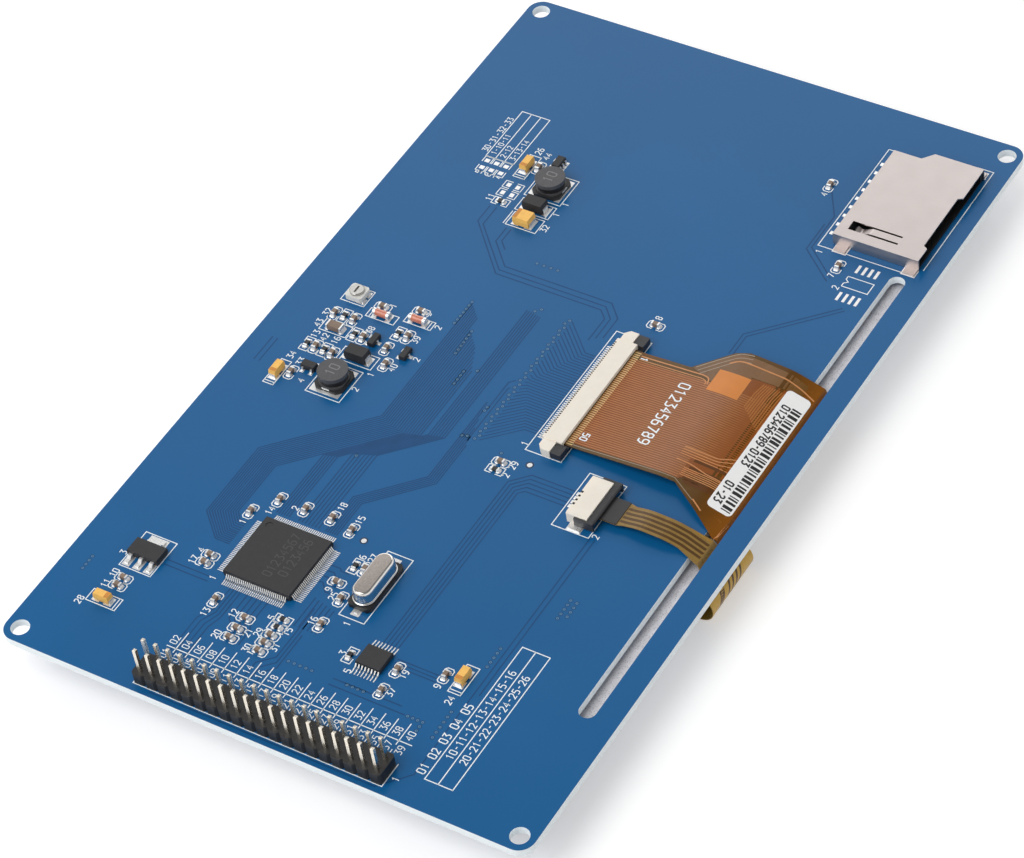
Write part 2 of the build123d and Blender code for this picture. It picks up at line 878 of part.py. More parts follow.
driver_exit = package_lift + driver_size[2] / 2 - lead_thickness / 2
driver_lead = gull_wing(
    driver_size[0] / 2, driver_span / 2, driver_exit, driver_foot, small_lead_width
)
with BuildPart() as driver_leads:
    driver_rows = []
    for place in driver_places:
        driver_rows += lead_row(place, 0, 3, small_lead_pitch)
        driver_rows += lead_row(place, 180, 2, 2 * small_lead_pitch)
    with Locations(*driver_rows):
        add(driver_lead)
driver_leads.part.label = "driver_leads"
export_step(driver_leads.part, "parts/driver_leads.step")

# Power inductors: drum core with a flat-sided foot, a winding and two folded terminals
inductor_places = [on_board(supply_spot, 0, 0, 0), on_board(backlight_spot, 0, 0, 90)]
upper_flange = core_height - core_flange
with BuildPart() as drum_core:
    with BuildSketch(Plane.XY.offset(core_lift)):
        Circle(core_diameter / 2)
        Rectangle(core_diameter, core_flat_width, mode=Mode.INTERSECT)
    extrude(amount=core_flange)
    with BuildSketch(Plane.XY.offset(core_lift)):
        Circle(core_waist_diameter / 2)
    extrude(amount=core_height - core_lift)
    with BuildSketch(Plane.XY.offset(upper_flange)):
        Circle(core_diameter / 2)
    extrude(amount=core_flange)
with BuildPart() as inductor_cores:
    with Locations(*inductor_places):
        add(drum_core.part)
inductor_cores.part.label = "inductor_cores"
export_step(inductor_cores.part, "parts/inductor_cores.step")

winding_bottom = core_lift + core_flange + running_clearance
winding_height = upper_flange - running_clearance - winding_bottom
with BuildPart() as winding:
    with BuildSketch(Plane.XY.offset(winding_bottom)):
        Circle(winding_diameter / 2)
        Circle(core_waist_diameter / 2 + running_clearance, mode=Mode.SUBTRACT)
    extrude(amount=winding_height)
with BuildPart() as inductor_windings:
    with Locations(*inductor_places):
        add(winding.part)
inductor_windings.part.label = "inductor_windings"
export_step(inductor_windings.part, "parts/inductor_windings.step")

core_terminal = folded_terminal(
    core_diameter / 2 - core_terminal_lap,
    core_diameter / 2 + lead_thickness,
    core_terminal_rise,
    core_terminal_width,
    lead_thickness,
)
with BuildPart() as inductor_terminals:
    with Locations(*both_ends(inductor_places)):
        add(core_terminal)
inductor_terminals.part.label = "inductor_terminals"
export_step(inductor_terminals.part, "parts/inductor_terminals.step")

# Trimmer: a base with three terminals, and a rotor with a screwdriver slot
trimmer_at = on_board(supply_spot, 20.25, 8.0, 0)
base_top = lead_thickness + trimmer_height
with BuildPart() as trimmer_mould:
    with BuildSketch(Plane.XY.offset(lead_thickness)):
        Rectangle(trimmer_width, trimmer_length)
    extrude(amount=trimmer_height)
    chamfer(trimmer_mould.edges().filter_by(Axis.Z), length=trimmer_corner)
    with BuildSketch(Plane.XY.offset(base_top)):
        Circle(rotor_shaft_diameter / 2 + running_clearance)
    extrude(amount=-rotor_shaft_depth - running_clearance, mode=Mode.SUBTRACT)
with BuildPart() as trimmer_base:
    with Locations(trimmer_at):
        add(trimmer_mould.part)
trimmer_base.part.label = "trimmer_base"
export_step(trimmer_base.part, "parts/trimmer_base.step")

rotor_level = base_top + running_clearance
with BuildPart() as rotor:
    with BuildSketch(Plane.XY.offset(rotor_level)):
        Circle(rotor_diameter / 2)
    extrude(amount=rotor_thickness)
    chamfer(rotor.faces().sort_by(Axis.Z)[-1].edges(), length=rotor_edge)
    with BuildSketch(Plane.XY.offset(rotor_level)):
        Circle(rotor_shaft_diameter / 2)
    extrude(amount=-rotor_shaft_depth)
    with BuildSketch(Plane.XY.offset(rotor_level + rotor_thickness)):
        Rectangle(rotor_slot_length, rotor_slot_width)
    extrude(amount=-rotor_slot_depth, mode=Mode.SUBTRACT)
with BuildPart() as trimmer_rotor:
    with Locations(trimmer_at):
        add(rotor.part)
trimmer_rotor.part.label = "trimmer_rotor"
export_step(trimmer_rotor.part, "parts/trimmer_rotor.step")

trimmer_terminal = folded_terminal(
    trimmer_length / 2 - trimmer_terminal_lap,
    trimmer_length / 2 + lead_thickness,
    trimmer_terminal_rise,
    trimmer_terminal_width,
    lead_thickness,
)
with BuildPart() as trimmer_terminals:
    trimmer_rows = lead_row(trimmer_at, -90, 2, trimmer_terminal_pitch)
    trimmer_rows += lead_row(trimmer_at, 90, 1, trimmer_terminal_pitch)
    with Locations(*trimmer_rows):
        add(trimmer_terminal)
trimmer_terminals.part.label = "trimmer_terminals"
export_step(trimmer_terminals.part, "parts/trimmer_terminals.step")

# Display flex connector. The flex goes in from -Y over the tongue of the slide latch.
lcd_flex_width = (lcd_ways + 1) * lcd_pitch
lcd_mouth = lcd_flex_width + 2 * latch_clearance
lcd_bar_length = lcd_mouth + 2 * lcd_body_end_wall
lcd_length = lcd_bar_length + 2 * lcd_ear_length
lcd_back = lcd_spot[1] + lcd_body_depth / 2
lcd_front = lcd_spot[1] - lcd_body_depth / 2
lcd_flex_bottom = flex_entry_height - flex_thickness / 2
lcd_latch_foot = lcd_flex_bottom - latch_clearance - tongue_thickness
ear_length = lcd_ear_length - latch_clearance
with BuildPart() as lcd_connector_body:
    with BuildSketch(Plane.XY.offset(board_top)):
        with Locations(lcd_spot):
            Rectangle(lcd_bar_length, lcd_body_depth)
    extrude(amount=lcd_body_height)
    with BuildSketch(Plane.XY.offset(board_top)):
        for end in (-1, 1):
            ear_x = lcd_spot[0] + end * (lcd_bar_length + lcd_ear_length) / 2
            with Locations((ear_x, lcd_spot[1] + lcd_ear_shift)):
                Rectangle(lcd_ear_length, lcd_ear_depth)
    extrude(amount=lcd_body_height - lcd_ear_drop)
    outer_corners = lcd_connector_body.edges().filter_by(Axis.Z).group_by(Axis.X)
    back_corners = ShapeList(outer_corners[0] + outer_corners[-1]).sort_by(Axis.Y)[-2:]
    chamfer(back_corners, length=lcd_body_corner)
    mouth_height = lcd_flex_bottom + flex_thickness + latch_clearance - lcd_latch_foot
    with BuildSketch(Plane.XY.offset(board_top + lcd_latch_foot - latch_clearance)):
        with Locations((lcd_spot[0], lcd_front)):
            Rectangle(lcd_mouth, 2 * (lcd_tongue_depth + latch_clearance))
    extrude(amount=mouth_height + latch_clearance, mode=Mode.SUBTRACT)
    with BuildSketch(Plane.XY.offset(board_top + lcd_flex_bottom - latch_clearance)):
        with Locations((lcd_spot[0], lcd_front)):
            Rectangle(lcd_mouth, 2 * (lcd_body_depth - lcd_body_back_wall))
    extrude(amount=flex_thickness + 2 * latch_clearance, mode=Mode.SUBTRACT)
lcd_connector_body.part.label = "lcd_connector_body"
export_step(lcd_connector_body.part, "parts/lcd_connector_body.step")

lcd_latch_front = lcd_front - lcd_latch_depth
tongue_width = lcd_flex_width - 2 * latch_clearance
ear_back = lcd_spot[1] + lcd_ear_shift - lcd_ear_depth / 2 - latch_clearance
with BuildPart() as lcd_connector_latch:
    with BuildSketch(Plane.XY.offset(board_top + lcd_latch_foot)):
        with Locations((lcd_spot[0], lcd_latch_front)):
            Rectangle(lcd_length, lcd_latch_depth - latch_clearance, align=(Align.CENTER, Align.MIN))
        with Locations((lcd_spot[0], lcd_latch_front)):
            Rectangle(
                tongue_width, lcd_latch_depth + lcd_tongue_depth, align=(Align.CENTER, Align.MIN)
            )
    extrude(amount=tongue_thickness)
    with BuildSketch(Plane.XY.offset(board_top + lcd_latch_foot)):
        for end in (-1, 1):
            ear_x = lcd_spot[0] + end * (lcd_length - ear_length) / 2
            with Locations((ear_x, lcd_latch_front)):
                Rectangle(ear_length, ear_back - lcd_latch_front, align=(Align.CENTER, Align.MIN))
    extrude(amount=lcd_body_height - lcd_latch_drop - lcd_latch_foot)
lcd_connector_latch.part.label = "lcd_connector_latch"
export_step(lcd_connector_latch.part, "parts/lcd_connector_latch.step")

with BuildPart() as lcd_connector_contacts:
    with Locations((lcd_spot[0], lcd_back, board_top)):
        with GridLocations(lcd_pitch, 0, lcd_ways, 1):
            Box(
                lcd_tail_width,
                lcd_tail_length,
                tail_thickness,
                align=(Align.CENTER, Align.MIN, Align.MIN),
            )
lcd_connector_contacts.part.label = "lcd_connector_contacts"
export_step(lcd_connector_contacts.part, "parts/lcd_connector_contacts.step")

# Touch flex connector. The latch is a bar over the flex, with arms along the housing.
touch_back_y = touch_spot[1] + touch_body_depth / 2
touch_front_y = touch_spot[1] - touch_body_depth / 2
touch_mouth = touch_flex_end_width + 2 * latch_clearance
touch_flex_bottom = flex_entry_height - flex_thickness / 2
touch_flex_top = touch_flex_bottom + flex_thickness + stiffener_thickness
touch_tongue_foot = touch_flex_top + latch_clearance
with BuildPart() as touch_connector_body:
    with BuildSketch(Plane.XY.offset(board_top)):
        with Locations(touch_spot):
            Rectangle(touch_body_length, touch_body_depth)
    extrude(amount=touch_body_height)
    top_edges = touch_connector_body.faces().sort_by(Axis.Z)[-1].edges()
    chamfer(top_edges.filter_by(Axis.Y), length=touch_body_edge)
    with BuildSketch(Plane.XY.offset(board_top + touch_flex_bottom - latch_clearance)):
        with Locations((touch_spot[0], touch_front_y)):
            Rectangle(touch_mouth, 2 * (touch_body_depth - touch_body_back_wall))
    mouth_top = touch_tongue_foot + tongue_thickness + latch_clearance
    extrude(amount=mouth_top - touch_flex_bottom + latch_clearance, mode=Mode.SUBTRACT)
touch_connector_body.part.label = "touch_connector_body"
export_step(touch_connector_body.part, "parts/touch_connector_body.step")

touch_latch_front = touch_front_y - touch_latch_depth
touch_latch_top = touch_body_height - touch_latch_drop
with BuildPart() as touch_connector_latch:
    with BuildSketch(Plane.XY.offset(board_top + touch_tongue_foot)):
        with Locations((touch_spot[0], touch_latch_front)):
            Rectangle(
                touch_latch_length,
                touch_latch_depth - latch_clearance,
                align=(Align.CENTER, Align.MIN),
            )
    extrude(amount=touch_latch_top - touch_tongue_foot)
    latch_edges = touch_connector_latch.faces().sort_by(Axis.Z)[-1].edges()
    chamfer(latch_edges.sort_by(Axis.Y)[0], length=touch_latch_edge)
    with BuildSketch(Plane.XY.offset(board_top + touch_tongue_foot)):
        with Locations((touch_spot[0], touch_latch_front)):
            Rectangle(
                touch_flex_end_width,
                touch_latch_depth + touch_tongue_depth,
                align=(Align.CENTER, Align.MIN),
            )
    extrude(amount=tongue_thickness)
    with BuildSketch(Plane.XY.offset(board_top + touch_latch_foot)):
        for end in (-1, 1):
            arm_x = touch_spot[0] + end * (touch_latch_length - touch_latch_wall) / 2
            with Locations((arm_x, touch_latch_front)):
                Rectangle(
                    touch_latch_wall,
                    touch_latch_depth + touch_arm_length,
                    align=(Align.CENTER, Align.MIN),
                )
    extrude(amount=touch_latch_top - touch_latch_foot)
touch_connector_latch.part.label = "touch_connector_latch"
export_step(touch_connector_latch.part, "parts/touch_connector_latch.step")

with BuildPart() as touch_connector_contacts:
    with Locations((touch_spot[0], touch_back_y, board_top)):
        with GridLocations(touch_pitch, 0, touch_ways, 1):
            Box(
                touch_tail_width,
                touch_tail_length,
                tail_thickness,
                align=(Align.CENTER, Align.MIN, Align.MIN),
            )
    for end in (-1, 1):
        tab_x = touch_spot[0] + end * (touch_body_length + solder_tab[0]) / 2
        with Locations((tab_x, touch_spot[1], board_top)):
            Box(*solder_tab, align=(Align.CENTER, Align.CENTER, Align.MIN))
touch_connector_contacts.part.label = "touch_connector_contacts"
export_step(touch_connector_contacts.part, "parts/touch_connector_contacts.step")

# Display flex: from its connector over the board, down through the slot, round the
# edge of the display and on to the glass ledge. Route points are (y, z), bend radii follow.
glass_width = view_width + 2 * cell_border_y
glass_length = view_length + 2 * cell_border_x
ledge_south = view_centre_y - glass_width / 2 - glass_ledge
entry_z = board_top + flex_entry_height
ledge_z = rear_glass_level - flex_thickness / 2
gap_z = (display_back + board_back) / 2
lcd_flex_end = lcd_back - lcd_body_back_wall - flex_end_clearance
edge_y = panel_south - flex_edge_clearance - flex_thickness
lcd_route = [
    (lcd_flex_end, entry_z),
    (lcd_front - 2.6, entry_z),
    (lcd_front - 20.0, board_top + 2.2),
    (slot_south + 7.0, board_top + 1.45),
    (slot_south + slot_drop + slot_lead_in, board_top - 0.5),
    (slot_south + slot_drop, gap_z),
    (edge_y, gap_z),
    (edge_y, ledge_z),
    (ledge_south + ledge_lap, ledge_z),
]
lcd_bends = [25.0, 25.0, 10.0, fold_bend, fold_bend, ledge_bend, ledge_bend]
lcd_west = lcd_spot[0] - lcd_flex_width / 2
lcd_east = lcd_spot[0] + lcd_flex_width / 2
flare_west = slot_centre_x - flare_reach_west
flare_east = slot_centre_x + flare_reach_east
with BuildPart() as display_flex:
    with BuildSketch(Plane.YZ.offset(flare_west)):
        add(strip_profile(lcd_route, lcd_bends, flex_thickness))
    extrude(amount=flare_east - flare_west)
    with BuildSketch(Plane.XY):
        with BuildLine():
            Polyline(
                (lcd_west, lcd_flex_end),
                (lcd_east, lcd_flex_end),
                (lcd_east, slot_y + 22.6),
                (flare_east - flare_corner, slot_y + 16.8),
                (flare_east, slot_y + 14.2),
                (flare_east, edge_y - flex_thickness),
                (flare_west, edge_y - flex_thickness),
                (flare_west, slot_y + 0.2),
                (lcd_west, slot_y + 11.4),
                close=True,
            )
        make_face()
    extrude(amount=2 * board_top, mode=Mode.INTERSECT)
display_flex.part.label = "display_flex"
export_step(display_flex.part, "parts/display_flex.step")

# Paper label on the last straight slope of the display flex, before the slot
slope_top = Vector(0, *lcd_route[3])
slope_foot = Vector(0, *lcd_route[4])
slope = (slope_top - slope_foot).normalized()
slope_normal = Vector(1, 0, 0).cross(slope)
label_up = slope * (label_width / 2 + label_from_fold)
label_centre = Vector(slot_centre_x + label_shift_x, 0, 0) + slope_foot + label_up
label_plane = Plane(
    origin=label_centre + slope_normal * (flex_thickness / 2), x_dir=(1, 0, 0), z_dir=slope_normal
)
with BuildPart() as display_flex_label:
    with BuildSketch(label_plane):
        RectangleRounded(label_length, label_width, label_corner)
    extrude(amount=label_thickness)
display_flex_label.part.label = "display_flex_label"
export_step(display_flex_label.part, "parts/display_flex_label.step")

# Touch flex: a narrow tail to its connector, a wide band round the display edge
touch_flex_end = touch_back_y - touch_body_back_wall - flex_end_clearance
tail_z = film_back + flex_thickness / 2
band_turn_y = panel_south - touch_band_overhang
band_west = slot_centre_x - touch_band_west
touch_route = [
    (touch_flex_end, entry_z),
    (touch_front_y - 5.8, entry_z),
    (slot_y + 12.0, board_top + 1.75),
    (slot_y + 6.6, board_top + 1.5),
    (slot_south + slot_drop + 0.8, board_top - 0.3),
    (slot_south + slot_drop + 0.1, gap_z),
    (band_turn_y - 0.1, gap_z),
]
touch_bends = [12.0, 12.0, 12.0, fold_bend, 0.4]
neck_west = touch_spot[0] - touch_flex_width / 2
neck_east = touch_spot[0] + touch_flex_width / 2
end_growth = (touch_flex_end_width - touch_flex_width) / 2
stiffener_end = touch_front_y - stiffener_reach
with BuildPart() as touch_flex:
    with BuildSketch(Plane.YZ.offset(neck_west - 2 * touch_neck_growth)):
        add(strip_profile(touch_route, touch_bends, flex_thickness))
    extrude(amount=touch_flex_width + 4 * touch_neck_growth)
    with BuildSketch(Plane.XY):
        with BuildLine():
            Polyline(
                (neck_west - end_growth, touch_flex_end),
                (neck_east + end_growth, touch_flex_end),
                (neck_east + end_growth, stiffener_end),
                (neck_east, stiffener_end - touch_neck_growth),
                (neck_east, band_turn_y - 1),
                (neck_west - touch_neck_growth, band_turn_y - 1),
                (neck_west - touch_neck_growth, slot_y),
                (neck_west, slot_y + 4),
                (neck_west, stiffener_end - touch_neck_growth),
                (neck_west - end_growth, stiffener_end),
                close=True,
            )
        make_face()
    extrude(amount=2 * board_top, mode=Mode.INTERSECT)
    fold_radius = (gap_z - tail_z) / 2
    with BuildSketch(Plane.YZ.offset(band_west)):
        with Locations((band_turn_y, (gap_z + tail_z) / 2)):
            Circle(fold_radius + flex_thickness / 2)
            Circle(fold_radius - flex_thickness / 2, mode=Mode.SUBTRACT)
            Rectangle(
                fold_radius + flex_thickness,
                2 * fold_radius + 2 * flex_thickness,
                align=(Align.MIN, Align.CENTER),
                mode=Mode.SUBTRACT,
            )
        with Locations((band_turn_y, gap_z)):
            Rectangle(flex_thickness, flex_thickness, align=(Align.MIN, Align.CENTER))
        with Locations((band_turn_y, tail_z)):
            Rectangle(touch_tail_lap, flex_thickness, align=(Align.MIN, Align.CENTER))
    extrude(amount=touch_band_width)
touch_flex.part.label = "touch_flex"
export_step(touch_flex.part, "parts/touch_flex.step")

stiffener_length = touch_flex_end - stiffener_end
with BuildPart() as touch_flex_stiffener:
    with BuildSketch(Plane.XY.offset(entry_z + flex_thickness / 2)):
        with Locations((touch_spot[0], stiffener_end)):
            Rectangle(touch_flex_end_width, stiffener_length, align=(Align.CENTER, Align.MIN))
    extrude(amount=stiffener_thickness)
touch_flex_stiffener.part.label = "touch_flex_stiffener"
export_step(touch_flex_stiffener.part, "parts/touch_flex_stiffener.step")

# Card socket: shell outline with the step that follows the card's cut corner
half_socket = socket_length / 2
half_depth = socket_depth / 2
step_foot = socket_step_y - card_corner_rise
socket_plane = Plane(origin=(socket_spot[0], socket_spot[1], board_top))
with BuildSketch(Plane.XY) as socket_outline:
    with BuildLine():
        Polyline(
            (-half_socket, -half_depth),
            (half_socket, -half_depth),
            (half_socket, step_foot),
            (half_socket - card_corner_step, socket_step_y),
            (half_socket - card_corner_step, half_depth),
            (-half_socket, half_depth),
            close=True,
        )
    make_face()
body_inset = socket_sheet + stack_clearance
cavity_side = half_socket - socket_rail
leaf_x = leaf_from_side - half_socket
with BuildPart() as card_socket_shell:
    with BuildSketch(socket_plane.offset(stack_clearance)):
        add(socket_outline.sketch)
    extrude(amount=socket_height - stack_clearance)
    with BuildSketch(socket_plane):
        add(socket_outline.sketch)
        offset(amount=-socket_sheet, kind=Kind.INTERSECTION, mode=Mode.REPLACE)
    extrude(amount=socket_height - socket_sheet, mode=Mode.SUBTRACT)
    with BuildSketch(socket_plane):
        with Locations((0, -half_depth)):
            Rectangle(socket_length - 2 * socket_sheet, 3 * socket_sheet)
        with Locations((-card_corner_step / 2, half_depth)):
            Rectangle(socket_length - card_corner_step - 2 * socket_sheet, 3 * socket_sheet)
    extrude(amount=socket_height - socket_sheet, mode=Mode.SUBTRACT)
    with BuildSketch(socket_plane.offset(socket_height)):
        with Locations((finger_notch_x, -half_depth)):
            Trapezoid(*finger_notch, finger_notch_angle, align=(Align.CENTER, Align.MIN))
        with Locations((leaf_x, leaf_foot)):
            Rectangle(*leaf_window, align=(Align.CENTER, Align.MIN))
    extrude(amount=-2 * socket_sheet, mode=Mode.SUBTRACT)
    leaf_side = socket_plane.origin.X + leaf_x - leaf_width / 2
    leaf_y = socket_spot[1] + leaf_foot
    leaf_z = board_top + socket_height - socket_sheet / 2
    leaf_route = [
        (leaf_y - 0.2, leaf_z),
        (leaf_y + 5.8, leaf_z),
        (leaf_y + 8.0, leaf_z - 0.95),
        (leaf_y + 9.0, leaf_z - 0.45),
    ]
    with BuildSketch(Plane.YZ.offset(leaf_side)):
        add(strip_profile(leaf_route, [leaf_bend, leaf_bend], socket_sheet))
    extrude(amount=leaf_width)
    tab_reach = half_socket + socket_tab[0] / 2
    tab_level = stack_clearance + socket_tab[2] / 2
    tab_back_y = half_depth - socket_tab_back
    tab_front_y = socket_tab_front - half_depth
    tab_spots = [
        (-tab_reach, tab_back_y, tab_level),
        (-tab_reach, tab_front_y, tab_level),
        (tab_reach, tab_front_y, tab_level),
        (tab_reach - card_corner_step, tab_back_y, tab_level),
    ]
    with Locations(*[Location(socket_plane) * Location(spot) for spot in tab_spots]):
        Box(*socket_tab)
card_socket_shell.part.label = "card_socket_shell"
export_step(card_socket_shell.part, "parts/card_socket_shell.step")

# Socket contacts: solder foot, riser through the back wall, spring beam over the floor
back_wall_y = half_depth - body_inset - socket_back_wall
beam_level = socket_floor + contact_rise
with BuildPart() as socket_contact:
    with BuildSketch(Plane.YZ):
        with BuildLine():
            Polyline(
                (half_depth + 1.9, contact_thickness / 2),
                (half_depth + 0.7, contact_thickness / 2),
                (half_depth + 0.35, beam_level),
                (back_wall_y - 2.5, beam_level),
                (back_wall_y - 5.0, beam_level + 0.75),
                (back_wall_y - 5.9, beam_level + 0.45),
            )
        trace(line_width=contact_thickness)
    extrude(amount=contact_width / 2, both=True)
with BuildPart() as card_socket_contacts:
    for i in range(contact_count):
        contact_x = first_contact_x + i * contact_pitch
        with Locations(Location(socket_plane) * Location((contact_x, 0, 0))):
            add(socket_contact.part)
card_socket_contacts.part.label = "card_socket_contacts"
export_step(card_socket_contacts.part, "parts/card_socket_contacts.step")

with BuildPart() as card_socket_body:
    with BuildSketch(socket_plane):
        add(socket_outline.sketch)
        offset(amount=-body_inset, kind=Kind.INTERSECTION, mode=Mode.REPLACE)
    extrude(amount=socket_height - socket_sheet - stack_clearance)
    with BuildSketch(socket_plane.offset(socket_floor)):
        with BuildLine():
            Polyline(
                (-cavity_side, -half_depth),
                (cavity_side, -half_depth),
                (cavity_side, step_foot - socket_step_wall),
                (cavity_side - card_corner_step, socket_step_y - socket_step_wall),
                (cavity_side - card_corner_step, back_wall_y),
                (-cavity_side, back_wall_y),
                close=True,
            )
        make_face()
    extrude(amount=socket_height, mode=Mode.SUBTRACT)
    add(card_socket_contacts.part, mode=Mode.SUBTRACT)
card_socket_body.part.label = "card_socket_body"
export_step(card_socket_body.part, "parts/card_socket_body.step")

# Foam tape frame between the display and the board
with BuildPart() as foam_tape:
    tape_length = display_length - 2 * tape_margin_x
    tape_width = display_width - 2 * tape_margin_y
    with BuildSketch(Plane.XY.offset(display_back)):
        Rectangle(tape_length, tape_width)
        Rectangle(tape_length - 2 * tape_band, tape_width - 2 * tape_band, mode=Mode.SUBTRACT)
    extrude(amount=tape_thickness)
foam_tape.part.label = "foam_tape"
export_step(foam_tape.part, "parts/foam_tape.step")

# Front bezel: folded sheet with the viewing window, open for the flex at -Y
flex_gate_x = (flare_west + flare_east) / 2
flex_gate_length = flare_east - flare_west + 2 * flex_edge_clearance
gate_level = ledge_z - flex_thickness / 2 - latch_clearance
inner_length = display_length - 2 * sheet_metal
inner_width = display_width - 2 * sheet_metal
with BuildPart() as front_bezel:
    with BuildSketch(Plane.XY.offset(bezel_front)):
        RectangleRounded(display_length, display_width, display_corner_radius)
    extrude(amount=bezel_skirt)
    with BuildSketch(Plane.XY.offset(bezel_inside)):
        Rectangle(inner_length, inner_width)
    extrude(amount=bezel_skirt, mode=Mode.SUBTRACT)
    with BuildSketch(Plane.XY.offset(bezel_front)):
        with Locations((0, view_centre_y)):
            Rectangle(view_length, view_width)
    extrude(amount=sheet_metal, mode=Mode.SUBTRACT)
    with BuildSketch(Plane.XY.offset(gate_level)):
        with Locations((flex_gate_x, panel_south)):
            Rectangle(flex_gate_length, 4 * sheet_metal)
    extrude(amount=bezel_skirt, mode=Mode.SUBTRACT)
front_bezel.part.label = "front_bezel"
export_step(front_bezel.part, "parts/front_bezel.step")

# Plastic frame that holds the glass in front and the backlight behind
frame_fit = sheet_metal + stack_clearance
shell_fit = frame_fit + sheet_metal + stack_clearance
frame_length = display_length - 2 * shell_fit
frame_width = display_width - 2 * shell_fit
shell_back = display_back - sheet_metal
frame_back = shell_back - stack_clearance
pocket_length = view_length + 2 * pocket_border_x
pocket_width = view_width + 2 * pocket_border_y
glass_south = ledge_south
glass_north = view_centre_y + glass_width / 2
with BuildPart() as backlight_frame:
    frame_level = bezel_inside + stack_clearance
    with BuildSketch(Plane.XY.offset(frame_level)):
        Rectangle(frame_length, frame_width)
    extrude(amount=frame_back - frame_level)
    with BuildSketch(Plane.XY.offset(frame_level)):
        with Locations((0, (glass_south + glass_north) / 2)):
            Rectangle(
                glass_length + 2 * seat_clearance, glass_north - glass_south + 2 * seat_clearance
            )
    extrude(amount=shelf_level - frame_level, mode=Mode.SUBTRACT)
    with BuildSketch(Plane.XY.offset(frame_level)):
        with Locations((0, view_centre_y)):
            Rectangle(
                view_length + 2 * frame_window_margin, view_width + 2 * frame_window_margin
            )
    extrude(amount=display_thickness, mode=Mode.SUBTRACT)
    with BuildSketch(Plane.XY.offset(pocket_level)):
        with Locations((0, view_centre_y)):
            Rectangle(pocket_length, pocket_width)
    extrude(amount=display_thickness, mode=Mode.SUBTRACT)
    with BuildSketch(Plane.XY.offset(gate_level)):
        with Locations((flex_gate_x, panel_south)):
            Rectangle(flex_gate_length, 2 * (ledge_south - panel_south))
    extrude(amount=flex_thickness + 2 * latch_clearance, mode=Mode.SUBTRACT)
backlight_frame.part.label = "backlight_frame"
export_step(backlight_frame.part, "parts/backlight_frame.step")

# Rear shell: a folded tray around the frame
shell_length = display_length - 2 * frame_fit
shell_width = display_width - 2 * frame_fit
with BuildPart() as rear_shell:
    with BuildSketch(Plane.XY.offset(display_back)):
        Rectangle(shell_length, shell_width)
    extrude(amount=-shell_skirt)
    with BuildSketch(Plane.XY.offset(shell_back)):
        Rectangle(shell_length - 2 * sheet_metal, shell_width - 2 * sheet_metal)
    extrude(amount=-shell_skirt, mode=Mode.SUBTRACT)
rear_shell.part.label = "rear_shell"
export_step(rear_shell.part, "parts/rear_shell.step")

# Liquid crystal cell: polarizers outside, two glass plates, the rear one with a ledge
polarizer_length = view_length + 2 * polarizer_border
polarizer_width = view_width + 2 * polarizer_border
with BuildPart() as front_polarizer:
    with BuildSketch(Plane.XY.offset(bezel_inside)):
        with Locations((0, view_centre_y)):
            Rectangle(polarizer_length, polarizer_width)
    extrude(amount=polarizer_thickness)
front_polarizer.part.label = "front_polarizer"
export_step(front_polarizer.part, "parts/front_polarizer.step")

with BuildPart() as front_glass:
    with BuildSketch(Plane.XY.offset(front_glass_level)):
        with Locations((0, view_centre_y)):
            Rectangle(glass_length, glass_width)
    extrude(amount=cell_glass_thickness)
front_glass.part.label = "front_glass"
export_step(front_glass.part, "parts/front_glass.step")

with BuildPart() as rear_glass:
    with BuildSketch(Plane.XY.offset(rear_glass_level)):
        with Locations((0, (glass_south + glass_north) / 2)):
            Rectangle(glass_length, glass_north - glass_south)
    extrude(amount=cell_glass_thickness)
rear_glass.part.label = "rear_glass"
export_step(rear_glass.part, "parts/rear_glass.step")

with BuildPart() as rear_polarizer:
    with BuildSketch(Plane.XY.offset(rear_polarizer_level)):
        with Locations((0, view_centre_y)):
            Rectangle(
                view_length + 2 * rear_polarizer_border, view_width + 2 * rear_polarizer_border
            )
    extrude(amount=polarizer_thickness)
rear_polarizer.part.label = "rear_polarizer"
export_step(rear_polarizer.part, "parts/rear_polarizer.step")

# Backlight: diffuser sheets, light guide with the LEDs along its -Y edge, reflector
pocket_south = view_centre_y - pocket_width / 2
pocket_north = view_centre_y + pocket_width / 2
guide_south = pocket_south + led_depth + 2 * seat_clearance
sheet_length = pocket_length - 2 * seat_clearance
sheet_north = pocket_north - seat_clearance
with BuildPart() as diffuser_sheets:
    with BuildSketch(Plane.XY.offset(pocket_level)):
        with Locations((0, view_centre_y)):
            Rectangle(sheet_length, pocket_width - 2 * seat_clearance)
    extrude(amount=diffuser_thickness)
diffuser_sheets.part.label = "diffuser_sheets"
export_step(diffuser_sheets.part, "parts/diffuser_sheets.step")

with BuildPart() as light_guide:
    with BuildSketch(Plane.XY.offset(guide_level)):
        with Locations((0, guide_south)):
            Rectangle(sheet_length, sheet_north - guide_south, align=(Align.CENTER, Align.MIN))
    extrude(amount=guide_thickness)
light_guide.part.label = "light_guide"
export_step(light_guide.part, "parts/light_guide.step")

strip_north = pocket_south + seat_clearance + led_strip_width
with BuildPart() as reflector_sheet:
    with BuildSketch(Plane.XY.offset(reflector_level)):
        with Locations((0, strip_north + seat_clearance)):
            Rectangle(
                sheet_length,
                sheet_north - strip_north - seat_clearance,
                align=(Align.CENTER, Align.MIN),
            )
    extrude(amount=reflector_thickness)
reflector_sheet.part.label = "reflector_sheet"
export_step(reflector_sheet.part, "parts/reflector_sheet.step")

with BuildPart() as led_strip:
    with BuildSketch(Plane.XY.offset(reflector_level)):
        with Locations((0, pocket_south + seat_clearance)):
            Rectangle(sheet_length, led_strip_width, align=(Align.CENTER, Align.MIN))
    extrude(amount=reflector_thickness)
led_strip.part.label = "led_strip"
export_step(led_strip.part, "parts/led_strip.step")

